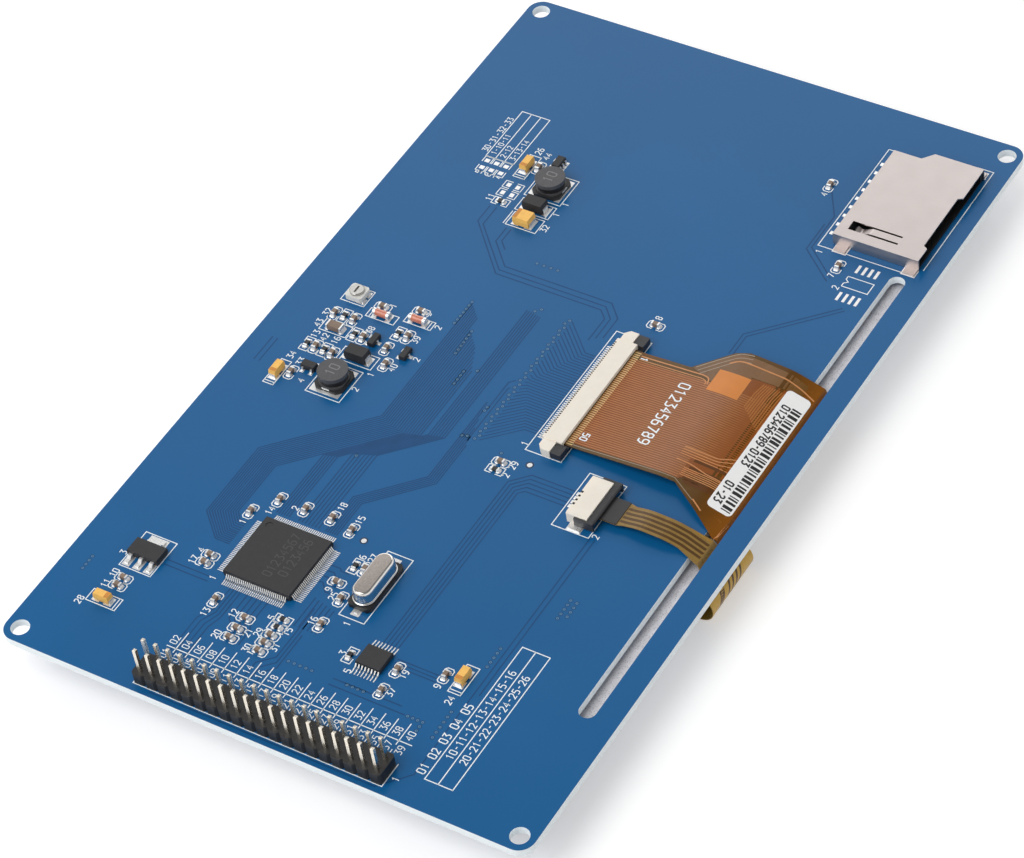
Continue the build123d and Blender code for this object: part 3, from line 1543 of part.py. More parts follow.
led_pitch = sheet_length / led_count
led_centre_y = pocket_south + seat_clearance + led_depth / 2
with BuildPart() as backlight_leds:
    with Locations((0, led_centre_y, reflector_level - led_height)):
        with GridLocations(led_pitch, 0, led_count, 1):
            Box(led_length, led_depth, led_height, align=(Align.CENTER, Align.CENTER, Align.MIN))
backlight_leds.part.label = "backlight_leds"
export_step(backlight_leds.part, "parts/backlight_leds.step")

# Touch panel: gasket frame, glass with a shallow seat for the flex tail, front film
with BuildPart() as touch_gasket:
    with BuildSketch(Plane.XY.offset(touch_back)):
        Rectangle(touch_length - 2 * gasket_inset, touch_width - 2 * gasket_inset)
        with Locations((0, view_centre_y)):
            Rectangle(
                view_length + 2 * gasket_window_margin,
                view_width + 2 * gasket_window_margin,
                mode=Mode.SUBTRACT,
            )
    extrude(amount=gasket_thickness)
touch_gasket.part.label = "touch_gasket"
export_step(touch_gasket.part, "parts/touch_gasket.step")

tail_seat_y = band_turn_y + touch_tail_lap + latch_clearance
with BuildPart() as touch_glass:
    with BuildSketch(Plane.XY.offset(film_back)):
        RectangleRounded(touch_length, touch_width, display_corner_radius)
    extrude(amount=touch_glass_thickness)
    with BuildSketch(Plane.XY.offset(film_back)):
        with Locations((band_west + touch_band_width / 2, tail_seat_y)):
            Rectangle(
                touch_band_width + 2 * latch_clearance,
                tail_seat_y - panel_south,
                align=(Align.CENTER, Align.MAX),
            )
    extrude(amount=flex_thickness + stack_clearance, mode=Mode.SUBTRACT)
touch_glass.part.label = "touch_glass"
export_step(touch_glass.part, "parts/touch_glass.step")

with BuildPart() as touch_film:
    with BuildSketch(Plane.XY):
        Rectangle(touch_length - 2 * film_margin, touch_width - 2 * film_margin)
    extrude(amount=touch_film_thickness)
touch_film.part.label = "touch_film"
export_step(touch_film.part, "parts/touch_film.step")
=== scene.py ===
import math

import bpy
from bpy.props import FloatProperty, FloatVectorProperty, PointerProperty
from mathutils import Matrix, Vector
from mathutils.bvhtree import BVHTree


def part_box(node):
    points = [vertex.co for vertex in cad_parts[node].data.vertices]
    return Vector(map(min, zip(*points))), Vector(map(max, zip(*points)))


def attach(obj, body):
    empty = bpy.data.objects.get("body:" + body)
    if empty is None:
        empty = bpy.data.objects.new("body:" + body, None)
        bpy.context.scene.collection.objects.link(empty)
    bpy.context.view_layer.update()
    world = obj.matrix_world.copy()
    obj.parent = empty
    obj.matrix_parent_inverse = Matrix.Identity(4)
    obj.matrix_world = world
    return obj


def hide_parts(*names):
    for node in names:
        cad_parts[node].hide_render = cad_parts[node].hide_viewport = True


bl_info = {
    "name": "Display module looks",
    "version": (1, 0, 0),
    "blender": (4, 5, 0),
    "location": "3D View > Sidebar > Display module",
    "description": "Printed board artwork, solder, flex lines and finishes of the display module",
    "category": "Object",
}

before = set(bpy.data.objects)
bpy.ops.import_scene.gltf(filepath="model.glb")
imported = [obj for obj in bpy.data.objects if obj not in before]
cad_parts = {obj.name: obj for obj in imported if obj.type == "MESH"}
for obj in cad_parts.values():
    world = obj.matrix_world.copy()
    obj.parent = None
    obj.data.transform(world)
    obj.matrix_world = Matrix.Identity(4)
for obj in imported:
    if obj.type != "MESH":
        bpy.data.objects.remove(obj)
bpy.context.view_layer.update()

MM = 0.001
BOARD_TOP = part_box("main_board")[1].z / MM
BOARD_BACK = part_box("main_board")[0].z / MM


# Drawing of flat and solid shapes in millimetres


def shifted(path, shift):
    """The path moved to its left by the shift, with mitred corners."""
    runs = [(Vector(b) - Vector(a)).normalized() for a, b in zip(path, path[1:])]
    lefts = [Vector((-run.y, run.x)) for run in runs]
    moved = [Vector(path[0]) + lefts[0] * shift]
    for i in range(1, len(path) - 1):
        mitre = (lefts[i - 1] + lefts[i]) / (1 + max(lefts[i - 1].dot(lefts[i]), -0.6))
        moved.append(Vector(path[i]) + mitre * shift)
    moved.append(Vector(path[-1]) + lefts[-1] * shift)
    return moved


def between(first, last, count):
    """Paths spread evenly from the first one to the last one, corner by corner."""
    for k in range(count):
        t = k / max(count - 1, 1)
        yield [Vector(a).lerp(Vector(b), t) for a, b in zip(first, last)]


def divided(path, step):
    """The path with more points on it, no further apart than the step."""
    points = [Vector(path[0])]
    for a, b in zip(path, path[1:]):
        start, end = Vector(a), Vector(b)
        parts = max(1, math.ceil((end - start).length / step))
        points += [start.lerp(end, (i + 1) / parts) for i in range(parts)]
    return points


def rounded(path, radius, parts=5):
    """The path with each inner corner rounded off."""
    points = [Vector(path[0])]
    for before, corner, after in zip(path, path[1:], path[2:]):
        a, b, c = Vector(before), Vector(corner), Vector(after)
        reach = min(radius, (a - b).length / 2, (c - b).length / 2)
        start, end = b + (a - b).normalized() * reach, b + (c - b).normalized() * reach
        for i in range(parts + 1):
            t = i / parts
            points.append(start.lerp(b, t).lerp(b.lerp(end, t), t))
    points.append(Vector(path[-1]))
    return points


class Drawing:
    """Faces in millimetres that become one piece."""

    def __init__(self, level=0.0, lay=None):
        self.points = []
        self.faces = []
        self.lay = lay or (lambda x, y: (x, y, level))

    def face(self, corners):
        start = len(self.points)
        self.points += [self.lay(x, y) for x, y in corners]
        self.faces.append(tuple(range(start, start + len(corners))))

    def bar(self, x0, y0, x1, y1):
        self.face([(x0, y0), (x1, y0), (x1, y1), (x0, y1)])

    def line(self, path, width):
        lefts, rights = shifted(path, width / 2), shifted(path, -width / 2)
        for i in range(len(path) - 1):
            self.face([lefts[i], rights[i], rights[i + 1], lefts[i + 1]])

    def sheet(self, rows, step=1.0, across=10):
        """Skin through rows of (y, x0, x1), split finely enough to be draped."""
        for (y, x0, x1), (end_y, end_x0, end_x1) in zip(rows, rows[1:]):
            parts = max(1, math.ceil(abs(end_y - y) / step))
            for k in range(parts):
                ring = []
                for t in (k / parts, (k + 1) / parts):
                    a = Vector((x0 + (end_x0 - x0) * t, y + (end_y - y) * t))
                    b = Vector((x1 + (end_x1 - x1) * t, y + (end_y - y) * t))
                    ring.append([a.lerp(b, i / across) for i in range(across + 1)])
                for i in range(across):
                    self.face([ring[0][i], ring[0][i + 1], ring[1][i + 1], ring[1][i]])

    def outline(self, x0, y0, x1, y1, width):
        self.line([(x0 - width / 2, y0), (x1, y0), (x1, y1), (x0, y1), (x0, y0)], width)

    def disc(self, x, y, radius, sides=16):
        turns = [math.tau * i / sides for i in range(sides)]
        self.face([(x + radius * math.cos(a), y + radius * math.sin(a)) for a in turns])

    def ring(self, x, y, radius, width, sides=14, start=0.0, sweep=math.tau):
        turns = [start + sweep * i / sides for i in range(sides + 1)]
        self.line([(x + radius * math.cos(a), y + radius * math.sin(a)) for a in turns], width)

    def number(self, text, x, y, height, width, turn=0.0):
        """Plain stroked digits, centred on x and y, read along the turned X axis."""
        unit = height / 4
        advance = 3.1 * unit
        spin = Matrix.Rotation(math.radians(turn), 2)
        left = -(len(text) * advance - 1.1 * unit) / 2
        for i, digit in enumerate(text):
            for stroke in DIGITS.get(digit, ()):
                corners = [
                    Vector((x, y)) + spin @ Vector((left + i * advance + u * unit, (v - 2) * unit))
                    for u, v in stroke
                ]
                self.line(corners, width)

    def solid(self, rings):
        """Closed solid through equal rings of 3-D points, capped at both ends."""
        start = len(self.points)
        sides = len(rings[0])
        for ring in rings:
            self.points += [tuple(point) for point in ring]
        for r in range(len(rings) - 1):
            for i in range(sides):
                j = (i + 1) % sides
                a, b = start + r * sides, start + (r + 1) * sides
                self.faces.append((a + i, a + j, b + j, b + i))
        self.faces.append(tuple(start + i for i in reversed(range(sides))))
        self.faces.append(tuple(start + (len(rings) - 1) * sides + i for i in range(sides)))

    def block(self, low, high, bevel=0.0):
        """Upright block whose top edges are bevelled."""
        (x0, y0, z0), (x1, y1, z1) = low, high
        levels = [(z0, 0.0), (z1 - bevel, 0.0), (z1, bevel)] if bevel else [(z0, 0.0), (z1, 0.0)]
        self.solid(
            [
                [(x0 + s, y0 + s, z), (x1 - s, y0 + s, z), (x1 - s, y1 - s, z), (x0 + s, y1 - s, z)]
                for z, s in levels
            ]
        )

    def turned(self, x, y, profile, sides=20):
        """Solid of revolution about the vertical through x and y, from (radius, z) points."""
        turns = [math.tau * i / sides for i in range(sides)]
        self.solid(
            [[(x + r * math.cos(a), y + r * math.sin(a), z) for a in turns] for r, z in profile]
        )

    def piece(self, name, material, slot=None, body="module", smooth=False):
        mesh = bpy.data.meshes.new(name)
        mesh.from_pydata([tuple(c * MM for c in point) for point in self.points], [], self.faces)
        mesh.materials.append(material)
        if smooth:
            mesh.shade_smooth()
        obj = bpy.data.objects.new(name, mesh)
        bpy.context.scene.collection.objects.link(obj)
        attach(obj, body)
        return obj


DIGITS = {
    "0": [[(0.3, 0), (1.7, 0), (2, 0.6), (2, 3.4), (1.7, 4), (0.3, 4), (0, 3.4), (0, 0.6), (0.3, 0)]],
    "1": [[(1.1, 0), (1.1, 4), (0.3, 3.2)]],
    "2": [[(0, 3.3), (0.5, 4), (1.6, 4), (2, 3.3), (2, 2.5), (0, 0), (2, 0)]],
    "3": [[(0, 4), (2, 4), (1, 2.4), (2, 1.6), (2, 0.6), (1.5, 0), (0, 0)]],
    "4": [[(1.5, 0), (1.5, 4), (0, 1.3), (2.1, 1.3)]],
    "5": [[(2, 4), (0.2, 4), (0, 2.3), (1.5, 2.3), (2, 1.7), (2, 0.6), (1.5, 0), (0, 0)]],
    "6": [[(1.8, 4), (0.7, 4), (0, 2.6), (0, 0.6), (0.5, 0), (1.6, 0), (2, 0.6), (2, 1.7), (1.5, 2.2), (0.1, 2.1)]],
    "7": [[(0, 4), (2, 4), (0.7, 0)]],
    "8": [[(0.4, 2.1), (0, 3.0), (0.4, 4), (1.6, 4), (2, 3.0), (1.6, 2.1), (0.4, 2.1), (0, 1.2), (0.4, 0), (1.6, 0), (2, 1.2), (1.6, 2.1)]],
    "9": [[(0.2, 0), (1.3, 0), (2, 1.4), (2, 3.4), (1.5, 4), (0.4, 4), (0, 3.4), (0, 2.3), (0.5, 1.8), (1.9, 1.9)]],
    "-": [[(0.3, 2), (1.7, 2)]],
}


def parts_of(node):
    """Box of each separate solid in a CAD node, in millimetres."""
    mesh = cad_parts[node].data
    spots = {}
    owner = []
    for vertex in mesh.vertices:
        key = tuple(round(c * 1e6) for c in vertex.co)
        owner.append(spots.setdefault(key, len(spots)))
    parent = list(range(len(spots)))

    def root(i):
        while parent[i] != i:
            parent[i] = parent[parent[i]]
            i = parent[i]
        return i

    for edge in mesh.edges:
        a, b = root(owner[edge.vertices[0]]), root(owner[edge.vertices[1]])
        parent[a] = b
    groups = {}
    for vertex, spot in zip(mesh.vertices, owner):
        groups.setdefault(root(spot), []).append(vertex.co / MM)
    boxes = []
    for points in groups.values():
        low = Vector([min(p[i] for p in points) for i in range(3)])
        high = Vector([max(p[i] for p in points) for i in range(3)])
        boxes.append((low, high))
    return sorted(boxes, key=lambda box: (round(box[0].x, 2), round(box[0].y, 2)))


def draped_on(node, lift):
    """A way to lay plan points on the upper side of a CAD node, lifted a little off it."""
    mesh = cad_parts[node].data
    tree = BVHTree.FromPolygons(
        [vertex.co / MM for vertex in mesh.vertices], [tuple(p.vertices) for p in mesh.polygons]
    )

    def lay(x, y):
        spot, normal = tree.ray_cast(Vector((x, y, 30.0)), Vector((0, 0, -1)))[:2]
        if spot is None:
            spot, normal = tree.find_nearest(Vector((x, y, BOARD_TOP + 1)))[:2]
        return spot + normal * lift

    return lay


def faced_on(node, lift):
    """A way to lay points of X and Z on the -Y side of a CAD node, lifted a little off it."""
    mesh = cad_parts[node].data
    tree = BVHTree.FromPolygons(
        [vertex.co / MM for vertex in mesh.vertices], [tuple(p.vertices) for p in mesh.polygons]
    )

    def lay(x, z):
        spot, normal = tree.ray_cast(Vector((x, -120.0, z)), Vector((0, 1, 0)))[:2]
        if spot is None:
            spot, normal = tree.find_nearest(Vector((x, -60.0, z)))[:2]
        return spot + normal * lift

    return lay


# Effects that several finishes share, each a shader node group


def make_group(name, inputs, outputs, build):
    """Shader node group with the named sockets, built once."""
    if name in bpy.data.node_groups:
        return bpy.data.node_groups[name]
    group = bpy.data.node_groups.new(name, "ShaderNodeTree")
    for label, kind, default in inputs:
        socket = group.interface.new_socket(label, in_out="INPUT", socket_type=kind)
        if default is not None:
            socket.default_value = default
    for label, kind in outputs:
        group.interface.new_socket(label, in_out="OUTPUT", socket_type=kind)
    build(group, group.nodes.new("NodeGroupInput"), group.nodes.new("NodeGroupOutput"))
    return group


def add_node(tree, kind, **values):
    """New node with its properties set and its inputs linked or given a value."""
    node = tree.nodes.new(kind)
    for label, value in values.items():
        if hasattr(node, label):
            setattr(node, label, value)
            continue
        socket = node.inputs[int(label[1:])] if label[1:].isdigit() else node.inputs[label.replace("_", " ")]
        if isinstance(value, bpy.types.NodeSocket):
            tree.links.new(value, socket)
        else:
            socket.default_value = value
    return node


FLOAT, COLOUR, VECTOR = "NodeSocketFloat", "NodeSocketColor", "NodeSocketVector"


def build_tone(group, source, result):
    noise = add_node(
        group, "ShaderNodeTexNoise", Vector=source.outputs["Place"], Scale=source.outputs["Scale"], Detail=4.0
    )
    swing = add_node(group, "ShaderNodeMath", operation="SUBTRACT", i0=noise.outputs["Fac"], i1=0.5)
    level = add_node(
        group,
        "ShaderNodeMath",
        operation="MULTIPLY_ADD",
        i0=swing.outputs[0],
        i1=source.outputs["Amount"],
        i2=1.0,
    )
    shade = add_node(
        group, "ShaderNodeHueSaturation", Value=level.outputs[0], Color=source.outputs["Colour"]
    )
    group.links.new(shade.outputs[0], result.inputs["Colour"])


def build_gloss(group, source, result):
    noise = add_node(
        group, "ShaderNodeTexNoise", Vector=source.outputs["Place"], Scale=source.outputs["Scale"], Detail=5.0
    )
    swing = add_node(group, "ShaderNodeMath", operation="SUBTRACT", i0=noise.outputs["Fac"], i1=0.5)
    level = add_node(
        group,
        "ShaderNodeMath",
        operation="MULTIPLY_ADD",
        use_clamp=True,
        i0=swing.outputs[0],
        i1=source.outputs["Amount"],
        i2=source.outputs["Roughness"],
    )
    group.links.new(level.outputs[0], result.inputs["Roughness"])


def build_grain(group, source, result):
    coarse = add_node(
        group, "ShaderNodeTexNoise", Vector=source.outputs["Place"], Scale=source.outputs["Scale"], Detail=3.0
    )
    cells = add_node(
        group, "ShaderNodeTexVoronoi", Vector=source.outputs["Place"], Scale=source.outputs["Scale"]
    )
    both = add_node(
        group,
        "ShaderNodeMath",
        operation="MULTIPLY_ADD",
        i0=cells.outputs["Distance"],
        i1=source.outputs["Pebble"],
        i2=coarse.outputs["Fac"],
    )
    group.links.new(both.outputs[0], result.inputs["Height"])


def build_brushed(group, source, result):
    stretch = add_node(
        group,
        "ShaderNodeVectorMath",
        operation="MULTIPLY",
        i0=source.outputs["Place"],
        i1=source.outputs["Stretch"],
    )
    noise = add_node(group, "ShaderNodeTexNoise", Vector=stretch.outputs[0], Scale=1.0, Detail=2.0)
    swing = add_node(group, "ShaderNodeMath", operation="SUBTRACT", i0=noise.outputs["Fac"], i1=0.5)
    level = add_node(
        group,
        "ShaderNodeMath",
        operation="MULTIPLY_ADD",
        i0=swing.outputs[0],
        i1=source.outputs["Amount"],
        i2=1.0,
    )
    shade = add_node(
        group, "ShaderNodeHueSaturation", Value=level.outputs[0], Color=source.outputs["Colour"]
    )
    group.links.new(noise.outputs["Fac"], result.inputs["Height"])
    group.links.new(shade.outputs[0], result.inputs["Colour"])


def build_specks(group, source, result):
    cells = add_node(
        group, "ShaderNodeTexVoronoi", Vector=source.outputs["Place"], Scale=source.outputs["Scale"]
    )
    near = add_node(
        group,
        "ShaderNodeMath",
        operation="LESS_THAN",
        i0=cells.outputs["Distance"],
        i1=source.outputs["Size"],
    )
    blend = add_node(
        group,
        "ShaderNodeMix",
        data_type="RGBA",
        i0=near.outputs[0],
        i6=source.outputs["Colour"],
        i7=source.outputs["Speck Colour"],
    )
    group.links.new(blend.outputs[2], result.inputs["Colour"])


WHITE = (1.0, 1.0, 1.0, 1.0)
EFFECTS = {
    "tone_drift": (
        [("Place", VECTOR, None), ("Colour", COLOUR, WHITE), ("Amount", FLOAT, 0.1), ("Scale", FLOAT, 100.0)],
        [("Colour", COLOUR)],
        build_tone,
    ),
    "gloss_drift": (
        [("Place", VECTOR, None), ("Roughness", FLOAT, 0.4), ("Amount", FLOAT, 0.1), ("Scale", FLOAT, 100.0)],
        [("Roughness", FLOAT)],
        build_gloss,
    ),
    "fine_grain": (
        [("Place", VECTOR, None), ("Scale", FLOAT, 1000.0), ("Pebble", FLOAT, 0.0)],
        [("Height", FLOAT)],
        build_grain,
    ),
    "brushed_lines": (
        [("Place", VECTOR, None), ("Colour", COLOUR, WHITE), ("Amount", FLOAT, 0.1), ("Stretch", VECTOR, None)],
        [("Height", FLOAT), ("Colour", COLOUR)],
        build_brushed,
    ),
    "speckle": (
        [
            ("Place", VECTOR, None),
            ("Colour", COLOUR, WHITE),
            ("Speck Colour", COLOUR, WHITE),
            ("Scale", FLOAT, 1000.0),
            ("Size", FLOAT, 0.2),
        ],
        [("Colour", COLOUR)],
        build_specks,
    ),
}


class Finish:
    """A procedural material, put together from the shared effects."""

    def __init__(self, name):
        self.material = bpy.data.materials.new(name)
        self.material.use_nodes = True
        self.tree = self.material.node_tree
        self.shader = self.tree.nodes["Principled BSDF"]
        self.place = self.tree.nodes.new("ShaderNodeTexCoord").outputs["Object"]
        self.colour = None

    def effect(self, name, **values):
        inputs, outputs, build = EFFECTS[name]
        node = self.tree.nodes.new("ShaderNodeGroup")
        node.node_tree = make_group(name, inputs, outputs, build)
        self.tree.links.new(self.place, node.inputs["Place"])
        for label, value in values.items():
            socket = node.inputs[label.replace("_", " ")]
            if isinstance(value, bpy.types.NodeSocket):
                self.tree.links.new(value, socket)
            else:
                socket.default_value = value
        return node

    def link(self, output, label):
        self.tree.links.new(output, self.shader.inputs[label])

    def set(self, **values):
        for label, value in values.items():
            self.shader.inputs[label.replace("_", " ")].default_value = value

    def faded(self, stops):
        """Colour that runs through stops of (Y in mm, colour)."""
        split = add_node(self.tree, "ShaderNodeSeparateXYZ", Vector=self.place)
        first, last = stops[0][0], stops[-1][0]
        along = add_node(
            self.tree, "ShaderNodeMapRange", Value=split.outputs["Y"], From_Min=first * MM, From_Max=last * MM
        )
        ramp = add_node(self.tree, "ShaderNodeValToRGB", Fac=along.outputs[0])
        elements = ramp.color_ramp.elements
        elements[0].color, elements[1].color = rgba(stops[0][1]), rgba(stops[-1][1])
        for y, colour in stops[1:-1]:
            elements.new((y - first) / (last - first)).color = rgba(colour)
        return ramp.outputs["Color"]

    def bump(self, height, depth, strength=1.0):
        node = add_node(
            self.tree, "ShaderNodeBump", Height=height, Distance=depth * MM, Strength=strength
        )
        self.link(node.outputs["Normal"], "Normal")


def rgba(colour):
    return (colour[0], colour[1], colour[2], 1.0)


def plain_finish(
    name,
    colour,
    roughness,
    metallic=0.0,
    tone=(0.12, 0.8),
    gloss=(0.15, 1.5),
    grain=(12.0, 0.004, 0.3),
    speck=None,
    brushed=None,
    stops=None,
    **sockets,
):
    """Finish whose colour, gloss and grain all vary. Scales are per mm, depths in mm."""
    finish = Finish(name)
    source = finish.faded(stops) if stops else rgba(colour)
    height = None
    if brushed:
        amount, stretch = brushed
        lines = finish.effect(
            "brushed_lines", Colour=source, Amount=amount, Stretch=tuple(s / MM for s in stretch)
        )
        source, height = lines.outputs["Colour"], lines.outputs["Height"]
    if speck:
        speck_colour, scale, size = speck
        source = finish.effect(
            "speckle", Colour=source, Speck_Colour=rgba(speck_colour), Scale=scale / MM, Size=size
        ).outputs["Colour"]
    drift = finish.effect("tone_drift", Colour=source, Amount=tone[0], Scale=tone[1] / MM)
    finish.colour = drift.outputs["Colour"]
    finish.link(finish.colour, "Base Color")
    worn = finish.effect("gloss_drift", Roughness=roughness, Amount=gloss[0], Scale=gloss[1] / MM)
    finish.link(worn.outputs["Roughness"], "Roughness")
    if height is None:
        height = finish.effect("fine_grain", Scale=grain[0] / MM, Pebble=grain[2]).outputs["Height"]
    finish.bump(height, grain[1])
    finish.set(Metallic=metallic, **sockets)
    return finish


def finish_once(name, make):
    """The material of this name, made the first time it is asked for."""
    found = bpy.data.materials.get(name)
    return found if found else make(name).material


def dress(nodes, material):
    """Puts a finish on CAD nodes."""
    for node in nodes:
        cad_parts[node].data.materials[0] = material


# Sizes and colours that a user may change


class BoardLook(bpy.types.PropertyGroup):
    """Colours and line widths of the printed board."""

    mask: FloatVectorProperty(
        name="Mask colour", description="Solder mask over copper", subtype="COLOR", default=(0.003, 0.106, 0.292)
    )
    bare_edge: FloatVectorProperty(
        name="Edge colour", description="Cut edge of the laminate", subtype="COLOR", default=(0.84, 0.90, 0.93)
    )
    track: FloatVectorProperty(
        name="Track colour", description="Mask beside the tracks", subtype="COLOR", default=(0.006, 0.066, 0.195)
    )
    ink: FloatVectorProperty(
        name="Ink colour", description="Printed marks", subtype="COLOR", default=(0.86, 0.91, 0.94)
    )
    tin: FloatVectorProperty(
        name="Pad colour", description="Tinned pads and solder", subtype="COLOR", default=(0.82, 0.82, 0.82)
    )
    track_width: FloatProperty(
        name="Track width", description="Width of a drawn track in mm", default=0.28, min=0.05, max=1.0
    )
    ink_width: FloatProperty(
        name="Ink width", description="Width of a printed line in mm", default=0.2, min=0.05, max=1.0
    )


class PartsLook(bpy.types.PropertyGroup):
    """Colours of the fitted parts."""

    moulding: FloatVectorProperty(
        name="Moulding", description="Epoxy of the chips", subtype="COLOR", default=(0.022, 0.022, 0.024)
    )
    ivory: FloatVectorProperty(
        name="Ivory", description="Housings of the flex connectors", subtype="COLOR", default=(0.93, 0.84, 0.72)
    )
    amber: FloatVectorProperty(
        name="Amber", description="Cases of the tantalum capacitors", subtype="COLOR", default=(0.95, 0.54, 0.12)
    )
    pin: FloatVectorProperty(
        name="Pins", description="Plating of the header pins", subtype="COLOR", default=(0.93, 0.86, 0.74)
    )
    stainless: FloatVectorProperty(
        name="Stainless", description="Shell of the card socket", subtype="COLOR", default=(0.52, 0.468, 0.452)
    )


class FlexLook(bpy.types.PropertyGroup):
    """Colours and line widths of the flex circuits."""

    film: FloatVectorProperty(
        name="Film", description="Cover film beside the copper", subtype="COLOR", default=(0.115, 0.060, 0.015)
    )
    copper: FloatVectorProperty(
        name="Copper", description="Brightest copper lines under the film", subtype="COLOR", default=(0.60, 0.26, 0.10)
    )
    touch_film: FloatVectorProperty(
        name="Touch film", description="Film of the touch flex", subtype="COLOR", default=(0.27, 0.165, 0.045)
    )
    line_width: FloatProperty(
        name="Line width", description="Width of a copper line in mm", default=0.22, min=0.05, max=1.0
    )


class DisplayLook(bpy.types.PropertyGroup):
    """Colours of the display and its touch panel."""

    cell: FloatVectorProperty(
        name="Cell", description="Dark viewing area", subtype="COLOR", default=(0.008, 0.009, 0.012)
    )
    sheet: FloatVectorProperty(
        name="Sheet", description="Folded sheet of bezel and shell", subtype="COLOR", default=(0.60, 0.61, 0.62)
    )


class StageLook(bpy.types.PropertyGroup):
    """Floor, lamps and lens of the stage."""

    floor: FloatVectorProperty(
        name="Floor", description="Colour of the floor", subtype="COLOR", default=(0.76, 0.76, 0.76)
    )
    lens: FloatProperty(name="Lens", description="Focal length", default=138.5, min=10.0, unit="CAMERA")
    key_power: FloatProperty(name="Key lamp", description="Power of the key lamp in watts", default=8.0, min=0.0)
    sky: FloatProperty(name="Sky", description="Strength of the light from overhead", default=0.2, min=0.0)
    floor_size: FloatProperty(
        name="Floor size", description="Side of the floor", default=4.0, min=1.0, unit="LENGTH"
    )


# Board artwork, in the order: path of the first track, path of the last one, number of them

TRACKS = [
    (
        [(-56.0, 28.4), (-56.0, 31.4), (-51.2, 36.6), (-34.5, 36.6), (-18.4, 20.5), (12.8, 20.5)],
        [(-53.4, 28.4), (-53.4, 30.6), (-50.0, 33.9), (-35.8, 33.9), (-19.6, 17.7), (10.0, 17.7)],
        7,
    ),
    (
        [(-53.0, 28.4), (-53.0, 30.4), (-49.9, 33.4), (-35.9, 33.4), (-19.7, 17.2), (6.6, 17.2)],
        [(-50.4, 28.4), (-50.4, 29.9), (-48.9, 31.3), (-37.0, 31.3), (-20.3, 14.6), (4.0, 14.6)],
        6,
    ),
    (
        [(-46.2, 24.9), (-31.0, 24.9), (-20.2, 14.1), (3.4, 14.1)],
        [(-46.2, 22.3), (-30.3, 22.3), (-19.5, 11.5), (-2.0, 11.5)],
        6,
    ),
    (
        [(-46.2, 20.2), (-28.6, 20.2), (-18.7, 10.3), (15.6, 10.3)],
        [(-46.2, 16.0), (-27.0, 16.0), (-18.2, 7.2), (15.0, 7.2)],
        7,
    ),
    (
        [(-46.2, 14.5), (-37.2, 14.5), (-27.4, 4.9), (-7.4, 4.9)],
        [(-46.2, 12.2), (-38.0, 12.2), (-28.2, 2.7), (-18.0, 2.7)],
        6,
    ),
    ([(-9.0, 3.9), (-1.6, 3.9), (-0.6, 2.9)], [(-17.0, 3.2), (-3.0, 3.2), (-2.6, 2.9)], 2),
    (
        [(36.5, 31.2), (32.0, 31.2), (21.3, 20.7), (21.3, -2.0), (19.6, -3.8), (13.6, -3.8)],
        [(36.5, 29.8), (31.6, 29.8), (22.4, 20.6), (22.4, -2.4), (20.0, -4.8), (14.6, -4.8)],
        2,
    ),
    ([(32.6, 25.2), (28.7, 25.2), (23.6, 20.1), (23.6, -3.0), (20.6, -6.0), (15.2, -6.0)],) * 2 + (1,),
    ([(32.6, 24.2), (29.2, 24.2), (27.4, 22.4)],) * 2 + (1,),
    (
        [(-63.6, -8.6), (-22.3, -8.6), (-19.2, -11.7), (-19.2, -20.6)],
        [(-63.6, -11.6), (-24.0, -11.6), (-23.0, -12.6), (-23.0, -20.6)],
        5,
    ),
    ([(-90.0, 22.0), (-90.0, -24.0), (-85.0, -28.6), (-27.6, -28.6)],) * 2 + (1,),
    ([(-66.0, -29.6), (-27.6, -29.6)],) * 2 + (1,),
    ([(21.5, -28.7), (26.8, -28.7), (40.0, -41.9)], [(21.5, -29.5), (26.5, -29.5), (39.6, -42.6)], 2),
    ([(45.9, -36.3), (51.6, -29.3), (60.5, -29.3), (66.0, -25.8)],) * 2 + (1,),
    ([(44.9, -36.0), (50.9, -28.6), (58.0, -28.6)],) * 2 + (1,),
    ([(-64.9, 36.4), (-64.9, 27.0)], [(-63.8, 36.4), (-63.8, 27.0)], 2),
    ([(-66.7, -12.8), (-66.7, -21.4)], [(-65.2, -12.8), (-65.2, -21.4)], 3),
    ([(-66.8, 7.6), (-59.8, 7.6)], [(-66.8, 3.0), (-61.0, 3.0)], 6),
    ([(-75.0, -5.0), (-75.0, -20.4)], [(-73.6, -5.0), (-73.6, -19.0)], 2),
    ([(-84.0, 24.0), (-72.5, 24.0), (-69.8, 22.4), (-64.4, 22.4)], [(-84.0, 21.0), (-73.5, 21.0), (-70.8, 20.2), (-64.4, 20.2)], 4),
    ([(-74.6, 17.0), (-72.0, 17.0), (-70.2, 18.8), (-64.4, 18.8)], [(-74.6, 13.9), (-71.0, 13.9), (-69.8, 14.6), (-64.4, 14.6)], 5),
    ([(-81.0, 9.0), (-76.5, 9.0), (-74.0, 6.4), (-62.0, 6.4)], [(-81.0, 6.5), (-77.5, 6.5), (-76.0, 5.0), (-68.0, 5.0)], 3),
    ([(-16.4, 49.9), (-10.0, 49.9)], [(-16.4, 48.8), (-10.0, 48.8)], 2),
    ([(-56.3, 10.0), (-56.3, 8.4), (-58.0, 6.8), (-58.0, 5.2)], [(-52.3, 10.0), (-52.3, 7.4), (-52.8, 6.8), (-52.8, 5.2)], 4),
]

